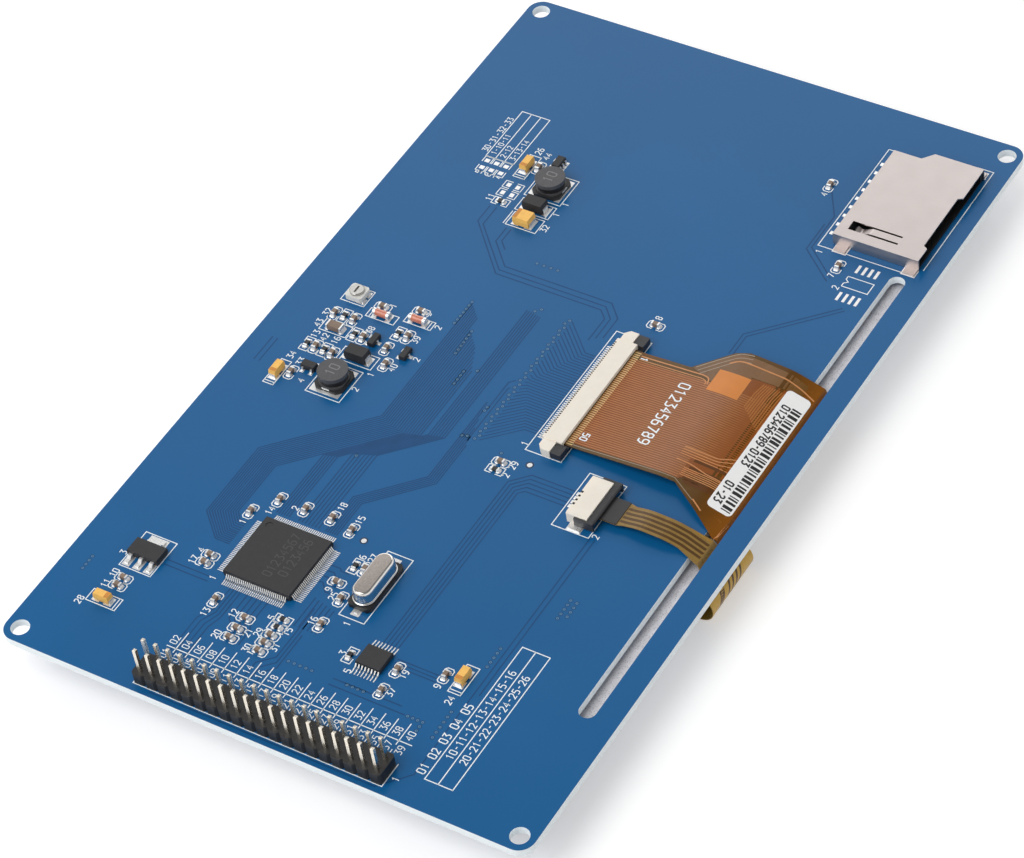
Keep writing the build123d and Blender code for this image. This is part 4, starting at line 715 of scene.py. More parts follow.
# Vias: place of the first one, step to the next, number of them
VIAS = [
    ((-16.0, 2.0), (0.985, 0.0), 34),
    ((7.1, 20.9), (1.0, -0.02), 7),
    ((0.6, 16.6), (1.0, 0.04), 7),
    ((-6.0, 12.8), (1.1, 0.0), 4),
    ((-1.5, 10.6), (0.0, 0.0), 1),
    ((15.9, 8.9), (0.9, -0.9), 2),
    ((-16.3, 4.7), (0.3, -0.9), 2),
    ((-9.4, 4.2), (0.9, 0.0), 2),
    ((-17.0, -4.0), (0.0, 0.0), 1),
    ((-28.6, 19.4), (0.0, 0.0), 1),
    ((-73.8, 4.0), (0.0, -1.2), 5),
    ((-73.8, -8.0), (0.0, -1.1), 4),
    ((-77.0, -24.0), (1.0, 0.0), 3),
    ((-75.0, -21.0), (0.0, -1.0), 3),
    ((-77.0, -27.2), (1.2, 0.0), 6),
    ((-60.0, -27.5), (1.1, 0.0), 5),
    ((-72.0, 49.0), (1.0, 0.0), 4),
    ((26.8, 15.0), (0.0, -1.5), 4),
    ((-45.6, -32.8), (1.1, 0.0), 5),
    ((-44.6, -34.1), (1.1, 0.0), 4),
]

# Printed boxes: x0, y0, x1, y1
BOXES = [
    (-77.7, 38.1, -75.0, 44.3),
    (-67.4, -26.7, -61.0, -24.2),
    (-20.4, 43.0, -14.1, 45.2),
    (45.2, 29.0, 51.6, 31.5),
    (33.4, 19.5, 37.0, 26.0),
    (-68.5, 36.85, -60.05, 43.55),
    (-61.2, -3.3, -45.3, 1.9),
    (-19.0, 29.4, -10.8, 36.8),
    (41.7, 19.0, 48.9, 26.9),
    (-9.7, 28.6, -6.4, 36.1),
    (37.6, 19.2, 40.9, 26.5),
    (3.5, 38.6, 7.6, 43.7),
    (1.8, 31.0, 4.0, 37.1),
    (3.5, 24.0, 5.6, 29.8),
    (-4.7, 37.4, -1.9, 43.2),
    (-14.4, -14.8, 17.8, -7.4),
    (-27.7, -28.3, -14.4, -20.8),
]

# Second lines at the marked ends of the polarised parts
END_LINES = [
    [(-77.7, 38.7), (-75.0, 38.7)],
    [(-66.8, -26.7), (-66.8, -24.2)],
    [(-19.8, 43.0), (-19.8, 45.2)],
    [(45.8, 29.0), (45.8, 31.5)],
    [(33.4, 26.5), (37.0, 26.5)],
    [(-9.7, 35.4), (-6.4, 35.4)],
    [(37.6, 19.9), (40.9, 19.9)],
    [(1.8, 36.4), (4.0, 36.4)],
    [(3.5, 24.7), (5.6, 24.7)],
]

# Plain part numbers: digits, x, y
NUMBERS = [
    ("28", -78.2, 45.3), ("11", -73.1, 43.2), ("10", -70.4, 43.2), ("3", -65.8, 44.5),
    ("17", -61.8, 32.2), ("4", -59.3, 32.2), ("1", -50.6, 29.2), ("14", -46.3, 26.2),
    ("1", -63.8, 26.6), ("13", -70.9, 23.4), ("2", -43.9, 22.4), ("20", -74.2, 18.8),
    ("21", -71.6, 13.9), ("12", -69.0, 18.7), ("30", -74.5, 12.2), ("29", -70.7, 12.3),
    ("5", -66.9, 12.1), ("31", -72.3, 7.8), ("15", -68.4, 7.8), ("18", -40.0, 14.9),
    ("15", -41.3, 10.3), ("9", -57.2, 6.6), ("6", -48.4, 5.2), ("16", -64.4, 5.2),
    ("25", -58.2, 5.0), ("27", -47.9, 3.4), ("1", -62.4, -0.6), ("3", -68.2, -3.5),
    ("5", -71.2, -6.4), ("37", -71.9, -15.6), ("19", -67.6, -15.6), ("9", -67.3, -22.1),
    ("24", -69.0, -25.6), ("2", -21.2, -7.5), ("29", -18.6, -7.5), ("1", -13.2, -6.6),
    ("2", -26.9, -29.3), ("8", 23.9, -12.8), ("34", -12.5, 44.1), ("33", -13.2, 41.6),
    ("13", -6.1, 43.0), ("42", -6.1, 41.0), ("16", -5.9, 38.6), ("43", -3.4, 44.1),
    ("32", -0.4, 44.1), ("4", -17.2, 38.9), ("38", -1.0, 34.2), ("3", -10.0, 37.6),
    ("2", -14.9, 28.5), ("1", -10.6, 27.9), ("40", -7.4, 25.2), ("2", -3.8, 22.3),
    ("39", 0.4, 25.1), ("5", 7.0, 26.6), ("1", 6.1, 33.6), ("2", 4.8, 23.0),
    ("11", 38.4, 32.4), ("26", 53.1, 30.3), ("44", 52.5, 28.2), ("32", 35.3, 18.5),
    ("1", 39.4, 18.4), ("1", 42.5, 18.2), ("5", 43.5, 38.1), ("6", 43.5, 36.1),
    ("7", 43.5, 34.1), ("4", 65.0, -24.7), ("7", 46.6, -36.0), ("2", 44.2, -38.2),
    ("1", 51.2, -31.1), ("1", -87.2, -26.4),
]


class Ready:
    """Shared parts of the operators that build the looks."""

    bl_options = {"REGISTER", "UNDO"}

    @classmethod
    def poll(cls, context):
        return context.scene is not None


def board_colour(finish, colour, edge):
    """Mask colour on the faces of the board and laminate colour on its cut edges."""
    geometry = finish.tree.nodes.new("ShaderNodeNewGeometry")
    split = add_node(finish.tree, "ShaderNodeSeparateXYZ", Vector=geometry.outputs["Normal"])
    upright = add_node(finish.tree, "ShaderNodeMath", operation="ABSOLUTE", i0=split.outputs["Z"])
    face = add_node(finish.tree, "ShaderNodeMath", operation="GREATER_THAN", i0=upright.outputs[0], i1=0.5)
    layers = finish.effect(
        "brushed_lines", Colour=rgba(edge), Amount=0.25, Stretch=(150.0, 150.0, 9000.0)
    )
    mixed = add_node(
        finish.tree, "ShaderNodeMix", data_type="RGBA", i0=face.outputs[0], i6=layers.outputs["Colour"], i7=colour
    )
    finish.link(mixed.outputs[2], "Base Color")


def facing_up(finish, level):
    """Mask of the faces that look up."""
    geometry = finish.tree.nodes.new("ShaderNodeNewGeometry")
    split = add_node(finish.tree, "ShaderNodeSeparateXYZ", Vector=geometry.outputs["Normal"])
    return add_node(
        finish.tree, "ShaderNodeMath", operation="GREATER_THAN", i0=split.outputs["Z"], i1=level
    ).outputs[0]


def ink_finish(name):
    look = bpy.context.scene.module_board
    return plain_finish(name, look.ink, 0.6, tone=(0.16, 2.5), grain=(9.0, 0.006, 0.5))


def tin_finish(name):
    look = bpy.context.scene.module_board
    return plain_finish(
        name, look.tin, 0.34, metallic=0.6, tone=(0.2, 1.6), gloss=(0.3, 2.2), grain=(5.0, 0.02, 0.2)
    )


def track_finish(name):
    look = bpy.context.scene.module_board
    return plain_finish(
        name, look.track, 0.42, tone=(0.3, 0.4), grain=(4.0, 0.008, 0.2), Specular_IOR_Level=0.25
    )


class MODULE_OT_board(Ready, bpy.types.Operator):
    """Gives the board its solder mask, with the laminate showing at the cut edges"""

    bl_idname = "module.board"
    bl_label = "Board"

    def execute(self, context):
        look = context.scene.module_board
        finish = plain_finish(
            "board_mask_blue",
            look.mask,
            0.31,
            tone=(0.16, 0.03),
            gloss=(0.06, 0.06),
            grain=(3.0, 0.0025, 0.2),
            Specular_IOR_Level=0.29,
        )
        board_colour(finish, finish.colour, look.bare_edge)
        dress(["main_board"], finish.material)
        return {"FINISHED"}


class MODULE_OT_tracks(Ready, bpy.types.Operator):
    """Draws the copper tracks and vias that show through the mask"""

    bl_idname = "module.tracks"
    bl_label = "Tracks"

    def execute(self, context):
        look = context.scene.module_board
        tracks = Drawing(BOARD_TOP + 0.008)
        for first, last, count in TRACKS:
            for path in between(first, last, count):
                tracks.line(path, look.track_width)
        for i in range(34):
            start = -16.0 + 0.985 * i
            end = -10.3 + 0.635 * i
            path = [(start, 1.3), (end, 1.3 - abs(end - start) - 0.4), (end, -7.2)]
            tracks.line(path, look.track_width * 0.85)
        for (x, y), (dx, dy), count in VIAS:
            for i in range(count):
                lean = 0.22 * (-1) ** i if count > 20 else 0.0
                tracks.ring(x + dx * i, y + dy * i + lean, 0.36, 0.16, 12)
        tracks.piece("board_tracks", finish_once("track_navy", track_finish), "board_mask")

        rims = Drawing(BOARD_TOP + 0.012)
        for (x, y), (dx, dy), count in VIAS:
            for i in range(count):
                lean = 0.22 * (-1) ** i if count > 20 else 0.0
                rims.ring(x + dx * i, y + dy * i + lean, 0.2, 0.13, 10)
        rim_finish = plain_finish(
            "via_rim_blue", (0.10, 0.22, 0.34), 0.4, tone=(0.4, 1.0), Specular_IOR_Level=0.4
        )
        rims.piece("board_via_rims", rim_finish.material, "board_mask")
        return {"FINISHED"}


def bracket(drawing, box, width, rounded):
    """Pair of printed brackets round a small chip, open at the middle of its long sides."""
    low, high = box
    x, y = (low.x + high.x) / 2, (low.y + high.y) / 2
    along_x = high.x - low.x > high.y - low.y
    long = max(high.x - low.x, high.y - low.y) / 2 + 1.2
    short = min(high.x - low.x, high.y - low.y) / 2 + 0.5
    corner = 0.36 if rounded else 0.02
    for side in (-1, 1):
        half = [
            (0.45, short),
            (long - corner, short),
            (long, short - corner),
            (long, corner - short),
            (long - corner, -short),
            (0.45, -short),
        ]
        path = [(side * u, v) for u, v in half]
        if not along_x:
            path = [(v, u) for u, v in path]
        drawing.line([(x + u, y + v) for u, v in path], width)


class MODULE_OT_print(Ready, bpy.types.Operator):
    """Prints the outlines, tables and plain numbers on the board"""

    bl_idname = "module.print"
    bl_label = "Print"

    def execute(self, context):
        width = context.scene.module_board.ink_width
        ink = Drawing(BOARD_TOP + 0.02)
        for node, rounded in (("chip_capacitors", True), ("chip_resistors", False)):
            for box in parts_of(node):
                if box[1].y - box[0].y < 2.0:
                    bracket(ink, box, width, rounded)
        for box in BOXES:
            ink.outline(*box, width)
        for path in END_LINES:
            ink.line(path, width)
        for digits, x, y in NUMBERS:
            ink.number(digits, x, y, 1.25, 0.2)
        self.header_table(ink, width)
        self.supply_tables(ink, width)
        self.empty_places(ink, width)
        ink.piece("board_print", finish_once("print_ink", ink_finish), "label_white")
        return {"FINISHED"}

    def header_table(self, ink, width):
        ink.line([(-88.9, 25.7), (-89.5, 25.7), (-89.5, -25.1), (-84.3, -25.1)], width)
        ink.line([(-80.05, 25.2), (-80.05, -25.1)], width)
        for row in range(20):
            y = 24.53 - 2.54 * row
            if row < 19:
                ink.line([(-83.0, y - 1.27), (-82.1, y - 1.27)], width)
                ink.line([(-81.0, y - 1.27), (-76.1, y - 1.27)], width)
            ink.number(f"{2 * row + 1:02d}", -81.75, y, 1.3, 0.17)
            ink.number(f"{2 * row + 2:02d}", -78.4, y, 1.3, 0.17)

    def supply_tables(self, ink, width):
        ink.number("01 02 03 04 05", -76.3, -29.3, 1.5, 0.22)
        ink.outline(-85.0, -36.2, -53.7, -30.7, width)
        ink.line([(-85.0, -33.35), (-53.7, -33.35)], width)
        ink.number("10-11-12-13-14-15-16", -69.3, -32.05, 1.35, 0.19)
        ink.number("20-21-22-23-24-25-26", -69.3, -34.75, 1.35, 0.19)
        ink.number("30-31-32-33", 53.9, 40.2, 1.2, 0.18)
        ink.outline(47.9, 33.0, 61.4, 39.2, width)
        for y in (35.0, 37.1):
            ink.line([(47.9, y), (61.4, y)], width)
        for digits, y in (("1-10-11", 38.15), ("2-12", 36.05), ("3-13-14", 34.0)):
            ink.number(digits, 48.6 + 0.45 * len(digits), y, 1.1, 0.17)

    def empty_places(self, ink, width):
        ink.line([(45.0, -39.0), (45.0, -44.3), (47.7, -44.3), (47.7, -39.0)], width)
        ink.line([(45.0, -39.0), (45.8, -39.0), (46.35, -39.7), (46.9, -39.0), (47.7, -39.0)], width)
        ink.line([(80.7, -30.1), (52.6, -30.1), (52.6, -49.75)], width)
        ink.line([(80.7, -30.1), (80.7, -36.8), (82.8, -38.7)], width)
        ink.line([(54.6, -50.75), (83.0, -50.75), (83.0, -47.5)], width)
        for x, y in ((45.8, 38.2), (45.8, 36.1), (45.8, 34.0)):
            box = (Vector((x - 0.8, y - 0.4, 0)), Vector((x + 0.8, y + 0.4, 0)))
            bracket(ink, box, width, False)
        for x, y in ((40.5, 29.9), (42.75, 29.9)):
            box = (Vector((x - 0.4, y - 0.8, 0)), Vector((x + 0.4, y + 0.8, 0)))
            bracket(ink, box, width, False)


class MODULE_OT_pads(Ready, bpy.types.Operator):
    """Lays the tinned pads and the solder fillets under the parts"""

    bl_idname = "module.pads"
    bl_label = "Pads and solder"

    def execute(self, context):
        tin = finish_once("solder_tin", tin_finish)
        pads = Drawing(BOARD_TOP + 0.015)
        for low, high in parts_of("controller_leads") + parts_of("touch_controller_leads"):
            along_x = high.x - low.x > high.y - low.y
            x, y = (low.x + high.x) / 2, (low.y + high.y) / 2
            out = Vector((x, y)) - self.middle(x)
            if along_x:
                toe = high.x if out.x > 0 else low.x
                sign = 1 if out.x > 0 else -1
                pads.bar(*sorted_box(toe - 0.9 * sign, y - 0.11, toe + 0.85 * sign, y + 0.11))
            else:
                toe = high.y if out.y > 0 else low.y
                sign = 1 if out.y > 0 else -1
                pads.bar(*sorted_box(x - 0.11, toe - 0.9 * sign, x + 0.11, toe + 0.85 * sign))
        for node, grow in (
            ("regulator_leads", 0.45),
            ("crystal_leads", 0.5),
            ("tantalum_terminals", 0.35),
            ("rectifier_leads", 0.4),
            ("transistor_leads", 0.2),
            ("driver_leads", 0.2),
            ("trimmer_terminals", 0.3),
            ("touch_connector_contacts", 0.25),
            ("glass_diode_caps", 0.25),
            ("chip_ends", 0.18),
        ):
            for low, high in parts_of(node):
                if low.z < BOARD_TOP + 0.2:
                    pads.bar(low.x - grow, low.y - grow, high.x + grow, high.y + grow)
        for low, high in parts_of("lcd_connector_contacts"):
            pads.bar(low.x - 0.03, low.y, high.x + 0.03, high.y + 0.5)
        for y in (-39.8, -41.1, -42.35, -43.6):
            pads.bar(41.4, y - 0.28, 43.6, y + 0.28)
            pads.bar(49.0, y - 0.28, 51.1, y + 0.28)
        for x, y in ((45.8, 38.2), (45.8, 36.1), (45.8, 34.0)):
            for side in (-1, 1):
                pads.bar(x + side * 1.0 - 0.45, y - 0.5, x + side * 1.0 + 0.45, y + 0.5)
        for x, y in ((40.5, 29.9), (42.75, 29.9)):
            for side in (-1, 1):
                pads.bar(x - 0.5, y + side * 1.0 - 0.45, x + 0.5, y + side * 1.0 + 0.45)
        for x, y in ((-45.1, 7.1), (-17.3, -10.1)):
            pads.disc(x, y, 0.5)
        for x0, y0, x1, y1 in (
            (-18.4, 30.1, -16.3, 36.4),
            (-13.5, 30.1, -11.2, 36.4),
            (42.3, 19.6, 48.4, 21.3),
            (42.3, 24.7, 48.4, 26.4),
            (52.2, -36.0, 54.2, -33.1),
            (52.2, -50.1, 54.2, -47.2),
            (80.4, -50.1, 82.4, -47.2),
            (78.3, -35.9, 80.4, -33.1),
        ):
            pads.bar(x0, y0, x1, y1)
        pads.piece("board_pads", tin, "tinned_metal")

        clearings = Drawing(BOARD_TOP + 0.01)
        for x, y in ((-45.1, 7.1), (-17.3, -10.1)):
            clearings.disc(x, y, 0.8, 24)
        bare = plain_finish("bare_laminate", (0.012, 0.035, 0.09), 0.5, tone=(0.3, 2.0))
        clearings.piece("board_clearings", bare.material, "board_mask")
        self.fillets(tin)
        return {"FINISHED"}

    def middle(self, x):
        """Centre of the leaded chip that a lead at x belongs to."""
        node = "touch_controller_body" if x < -63.9 and x > -70.6 else "controller_body"
        low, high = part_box(node)
        return Vector(((low.x + high.x) / 2 / MM, (low.y + high.y) / 2 / MM))

    def fillets(self, tin):
        """Concave solder at both ends of each chip."""
        solder = Drawing()
        ends = parts_of("chip_ends")
        cores = parts_of("chip_capacitors") + parts_of("chip_resistors")
        for low, high in ends:
            end = (low + high) / 2
            core = min(cores, key=lambda box: ((box[0] + box[1]) / 2 - end).length)
            middle = (core[0] + core[1]) / 2
            out = Vector((end.x - middle.x, end.y - middle.y)).normalized()
            across = Vector((-out.y, out.x))
            reach = abs((high.x - low.x) * out.x + (high.y - low.y) * out.y) / 2
            half = abs((high.x - low.x) * across.x + (high.y - low.y) * across.y) / 2
            face = Vector((end.x, end.y)) + out * reach
            rise = (high.z - low.z) * 0.6
            profile = [
                (-0.03, 0.0),
                (0.42, 0.0),
                (0.40, 0.03),
                (0.2, rise * 0.25),
                (0.07, rise * 0.65),
                (-0.03, rise),
            ]
            rings = []
            for t in (-half * 0.95, half * 0.95):
                ring = []
                for u, v in profile:
                    spot = face + out * u + across * t
                    ring.append((spot.x, spot.y, BOARD_TOP + v))
                rings.append(ring)
            solder.solid(rings)
        solder.piece("chip_solder", tin, "tinned_metal")


def sorted_box(x0, y0, x1, y1):
    return (min(x0, x1), min(y0, y1), max(x0, x1), max(y0, y1))


class MODULE_OT_header(Ready, bpy.types.Operator):
    """Finishes the pin header and solders its pins on the display side"""

    bl_idname = "module.header"
    bl_label = "Pin header"

    def execute(self, context):
        look = context.scene.module_parts
        dress(
            ["header_housing", "crystal_base", "card_socket_body"],
            plain_finish(
                "housing_nylon", (0.009, 0.009, 0.010), 0.44, tone=(0.5, 1.2), gloss=(0.3, 2.0), grain=(14.0, 0.012, 0.6)
            ).material,
        )
        dress(
            ["header_pins"],
            plain_finish(
                "pin_plating", look.pin, 0.26, metallic=1.0, tone=(0.15, 2.0), brushed=(0.12, (14.0, 14.0, 0.7))
            ).material,
        )
        cones = Drawing()
        for low, high in parts_of("header_pins"):
            x, y = (low.x + high.x) / 2, (low.y + high.y) / 2
            cones.turned(
                x,
                y,
                [(0.42, BOARD_BACK - 1.15), (0.5, BOARD_BACK - 0.8), (0.66, BOARD_BACK - 0.3), (0.95, BOARD_BACK + 0.0)],
                14,
            )
        cones.piece("header_solder", finish_once("solder_tin", tin_finish), "tinned_metal", smooth=True)
        return {"FINISHED"}


class MODULE_OT_packages(Ready, bpy.types.Operator):
    """Finishes the moulded chips, their leads and their marks"""

    bl_idname = "module.packages"
    bl_label = "Moulded chips"

    def execute(self, context):
        look = context.scene.module_parts
        epoxy = plain_finish(
            "chip_epoxy", look.moulding, 0.55, tone=(0.35, 1.0), gloss=(0.2, 3.0), grain=(16.0, 0.012, 0.5)
        )
        dress(
            [
                "controller_body",
                "touch_controller_body",
                "regulator_body",
                "rectifier_bodies",
                "transistor_bodies",
                "driver_bodies",
            ],
            epoxy.material,
        )
        leads = plain_finish(
            "lead_tin", (0.84, 0.84, 0.83), 0.3, metallic=0.75, tone=(0.22, 3.0), gloss=(0.25, 4.0), grain=(9.0, 0.01, 0.2)
        )
        dress(
            [
                "controller_leads",
                "touch_controller_leads",
                "regulator_leads",
                "rectifier_leads",
                "transistor_leads",
                "driver_leads",
                "crystal_leads",
                "card_socket_contacts",
                "trimmer_terminals",
                "inductor_terminals",
                "tantalum_terminals",
                "glass_diode_caps",
                "lcd_connector_contacts",
                "touch_connector_contacts",
                "chip_ends",
            ],
            leads.material,
        )
        low, high = (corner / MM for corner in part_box("controller_body"))
        etched = Drawing(high.z + 0.01)
        middle = (low + high) / 2
        etched.number("01234567", middle.x + 0.4, middle.y - 0.6, 1.7, 0.2)
        etched.number("0123456", middle.x + 0.9, middle.y - 3.2, 1.7, 0.2)
        dim = plain_finish("chip_marking", (0.062, 0.060, 0.058), 0.6, tone=(0.5, 2.0), grain=(14.0, 0.01, 0.5))
        etched.piece("controller_marks", dim.material, "housing_black")
        return {"FINISHED"}


class MODULE_OT_small_parts(Ready, bpy.types.Operator):
    """Finishes the capacitors, resistors, diodes, inductors and the trimmer"""

    bl_idname = "module.small_parts"
    bl_label = "Small parts"

    def execute(self, context):
        look = context.scene.module_parts
        dress(
            ["chip_capacitors"],
            plain_finish(
                "ceramic_brown", (0.235, 0.165, 0.120), 0.5, tone=(0.7, 0.25), speck=((0.34, 0.26, 0.20), 18.0, 0.2), grain=(12.0, 0.01, 0.4)
            ).material,
        )
        dress(
            ["chip_resistors"],
            plain_finish(
                "resistor_glaze", (0.018, 0.018, 0.02), 0.3, tone=(0.5, 2.0), gloss=(0.2, 3.0), grain=(10.0, 0.01, 0.2)
            ).material,
        )
        dress(
            ["tantalum_bodies"],
            plain_finish(
                "tantalum_case", look.amber, 0.48, tone=(0.3, 1.2), gloss=(0.2, 2.0), grain=(14.0, 0.012, 0.4)
            ).material,
        )
        dress(
            ["glass_diodes"],
            plain_finish(
                "diode_rose", (0.62, 0.20, 0.12), 0.16, tone=(0.6, 1.2), gloss=(0.1, 2.0), Coat_Weight=0.6, Coat_Roughness=0.05
            ).material,
        )
        dress(
            ["inductor_cores"],
            plain_finish(
                "ferrite", (0.075, 0.075, 0.08), 0.5, tone=(0.4, 1.4), speck=((0.13, 0.13, 0.135), 22.0, 0.2), grain=(11.0, 0.02, 0.5)
            ).material,
        )
        dress(
            ["inductor_windings"],
            plain_finish(
                "winding_enamel", (0.022, 0.02, 0.02), 0.35, metallic=0.3, brushed=(0.5, (0.3, 0.3, 9.0)), grain=(9.0, 0.05, 0.2)
            ).material,
        )
        dress(
            ["trimmer_rotor"],
            plain_finish(
                "rotor_brass_tinned", (0.46, 0.45, 0.43), 0.24, metallic=1.0, tone=(0.2, 1.5), brushed=(0.2, (7.0, 0.6, 7.0))
            ).material,
        )
        dress(
            ["trimmer_base"],
            plain_finish(
                "trimmer_ceramic", (0.78, 0.77, 0.73), 0.45, tone=(0.12, 1.5), grain=(14.0, 0.01, 0.5)
            ).material,
        )
        self.bands(context)
        self.values()
        return {"FINISHED"}

    def bands(self, context):
        """Darker polarity bands printed on the tantalum cases."""
        bands = Drawing()
        for (low, high), end in zip(parts_of("tantalum_bodies"), TANTALUM_MARKS):
            inset = 0.14
            x0, y0, x1, y1 = low.x + inset, low.y + inset, high.x - inset, high.y - inset
            z = high.z + 0.01
            if end == "-y":
                y1 = y0 + 0.75
            elif end == "+y":
                y0 = y1 - 0.75
            else:
                x1 = x0 + 0.75
            bands.block((x0, y0, z - 0.02), (x1, y1, z))
        rust = plain_finish(
            "tantalum_band", (0.62, 0.25, 0.04), 0.5, tone=(0.4, 2.0), grain=(14.0, 0.01, 0.4)
        )
        bands.piece("tantalum_bands", rust.material, "tantalum_amber")

    def values(self):
        """Plain value digits printed on the inductors."""
        marks = Drawing(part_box("inductor_cores")[1].z / MM + 0.012)
        for low, high in parts_of("inductor_cores"):
            marks.number("10", (low.x + high.x) / 2, (low.y + high.y) / 2, 1.9, 0.24)
        worn = plain_finish("ferrite_mark", (0.20, 0.20, 0.205), 0.6, tone=(0.5, 3.0), grain=(12.0, 0.01, 0.5))
        marks.piece("inductor_marks", worn.material, "ferrite_grey")

        feet = Drawing()
        for low, high in parts_of("inductor_cores"):
            x, y = (low.x + high.x) / 2, (low.y + high.y) / 2
            half, cut = (high.x - low.x) / 2 + 0.15, 0.95
            corners = [
                (-half, cut - half), (cut - half, -half), (half - cut, -half), (half, cut - half),
                (half, half - cut), (half - cut, half), (cut - half, half), (-half, half - cut),
            ]
            feet.solid([[(x + u, y + v, z) for u, v in corners] for z in (BOARD_TOP + 0.05, BOARD_TOP + 0.55)])
        base = plain_finish("inductor_foot", (0.02, 0.02, 0.021), 0.5, tone=(0.4, 1.5), grain=(12.0, 0.012, 0.5))
        feet.piece("inductor_feet", base.material, "ferrite_grey")


# Marked end of each tantalum case, in the order of their places from -X to +X
TANTALUM_MARKS = ("-y", "-x", "-x", "+y", "-x")


class MODULE_OT_crystal(Ready, bpy.types.Operator):
    """Replaces the crystal can with a drawn one whose top edge is rounded"""

    bl_idname = "module.crystal"
    bl_label = "Crystal"

    def execute(self, context):
        low, high = (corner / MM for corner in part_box("crystal_can"))
        middle = (low + high) / 2
        half_length, half_width = (high.x - low.x) / 2 - 0.2, (high.y - low.y) / 2 - 0.4
        rim = 0.2
        levels = [
            (rim, low.z),
            (rim + 0.02, low.z + 0.25),
            (rim - 0.04, low.z + 0.34),
            (0.04, low.z + 0.36),
            (0.0, low.z + 0.5),
            (0.0, high.z - 0.8),
            (-0.06, high.z - 0.5),
            (-0.18, high.z - 0.25),
            (-0.34, high.z - 0.08),
            (-0.5, high.z - 0.01),
            (-0.62, high.z),
        ]
        can = Drawing()
        can.solid([self.stadium(middle, half_length, half_width, grow, z) for grow, z in levels])
        steel = plain_finish(
            "crystal_steel", (0.80, 0.78, 0.75), 0.2, metallic=1.0, tone=(0.16, 0.6), brushed=(0.16, (0.35, 9.0, 9.0)), grain=(9.0, 0.004, 0.2)
        )
        top = facing_up(steel, 0.985)
        matt = steel.effect("tone_drift", Colour=rgba((0.42, 0.375, 0.345)), Amount=0.7, Scale=2.5 / MM)
        steel.link(
            add_node(
                steel.tree, "ShaderNodeMix", data_type="RGBA", i0=top, i6=steel.colour, i7=matt.outputs["Colour"]
            ).outputs[2],
            "Base Color",
        )
        steel.link(
            add_node(steel.tree, "ShaderNodeMath", operation="MULTIPLY_ADD", i0=top, i1=0.25, i2=0.18).outputs[0],
            "Roughness",
        )
        piece = can.piece("crystal_can_drawn", steel.material, "can_metal", smooth=True)
        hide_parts("crystal_can")
        return {"FINISHED"}

    def stadium(self, middle, half_length, half_width, grow, z, sides=14):
        """Ring of points with straight long sides and round ends."""
        radius = half_width + grow
        centre = half_length - half_width
        ring = []
        for side, start in ((1, -math.pi / 2), (-1, math.pi / 2)):
            for i in range(sides + 1):
                a = start + math.pi * i / sides
                ring.append(
                    (middle.x + side * centre + radius * math.cos(a), middle.y + radius * math.sin(a), z)
                )
        return ring


class MODULE_OT_connectors(Ready, bpy.types.Operator):
    """Finishes both flex connectors and draws dark blocks at their contacts, painted shade standing for the shaded
    insides of the slot openings
    """

    bl_idname = "module.connectors"
    bl_label = "Flex connectors"

    def execute(self, context):
        look = context.scene.module_parts
        ivory = plain_finish(
            "connector_nylon", look.ivory, 0.42, tone=(0.10, 0.6), gloss=(0.2, 1.5), grain=(12.0, 0.01, 0.5), Subsurface_Weight=0.08
        )
        dress(["lcd_connector_body", "touch_connector_body"], ivory.material)
        latch = plain_finish(
            "latch_nylon", (0.028, 0.027, 0.03), 0.38, tone=(0.4, 1.2), gloss=(0.25, 2.0), grain=(14.0, 0.012, 0.5)
        )
        dress(["lcd_connector_latch", "touch_connector_latch"], latch.material)

        low, high = (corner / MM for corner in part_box("lcd_connector_contacts"))
        body_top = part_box("lcd_connector_body")[1].z / MM
        # Dark blocks on the top and down the front face at each contact: painted shade for the shaded slot openings.
        slot_shade_blocks = Drawing()
        for box_low, box_high in parts_of("lcd_connector_contacts"):
            x = (box_low.x + box_high.x) / 2
            slot_shade_blocks.block((x - 0.13, low.y - 0.34, body_top - 0.05), (x + 0.13, low.y + 0.012, body_top + 0.012))
            slot_shade_blocks.block((x - 0.13, low.y - 0.1, BOARD_TOP + 0.25), (x + 0.13, low.y + 0.012, body_top - 0.05))
        shade = plain_finish("slot_shade", (0.02, 0.02, 0.022), 0.6, tone=(0.4, 2.0), grain=(12.0, 0.01, 0.4))
        slot_shade_blocks.piece("lcd_connector_slot_shade", shade.material, "latch_black")

        low, high = (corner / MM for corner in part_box("touch_connector_body"))
        # The same painted shade for the slot openings of the touch connector.
        touch = Drawing()
        for i in range(4):
            x = -23.5 + 1.0 * i
            touch.block((x - 0.22, high.y - 0.45, high.z - 0.05), (x + 0.22, high.y + 0.012, high.z + 0.012))
            touch.block((x - 0.22, high.y - 0.1, BOARD_TOP + 0.6), (x + 0.22, high.y + 0.012, high.z - 0.05))
        touch.piece("touch_connector_slot_shade", shade.material, "latch_black")
        return {"FINISHED"}


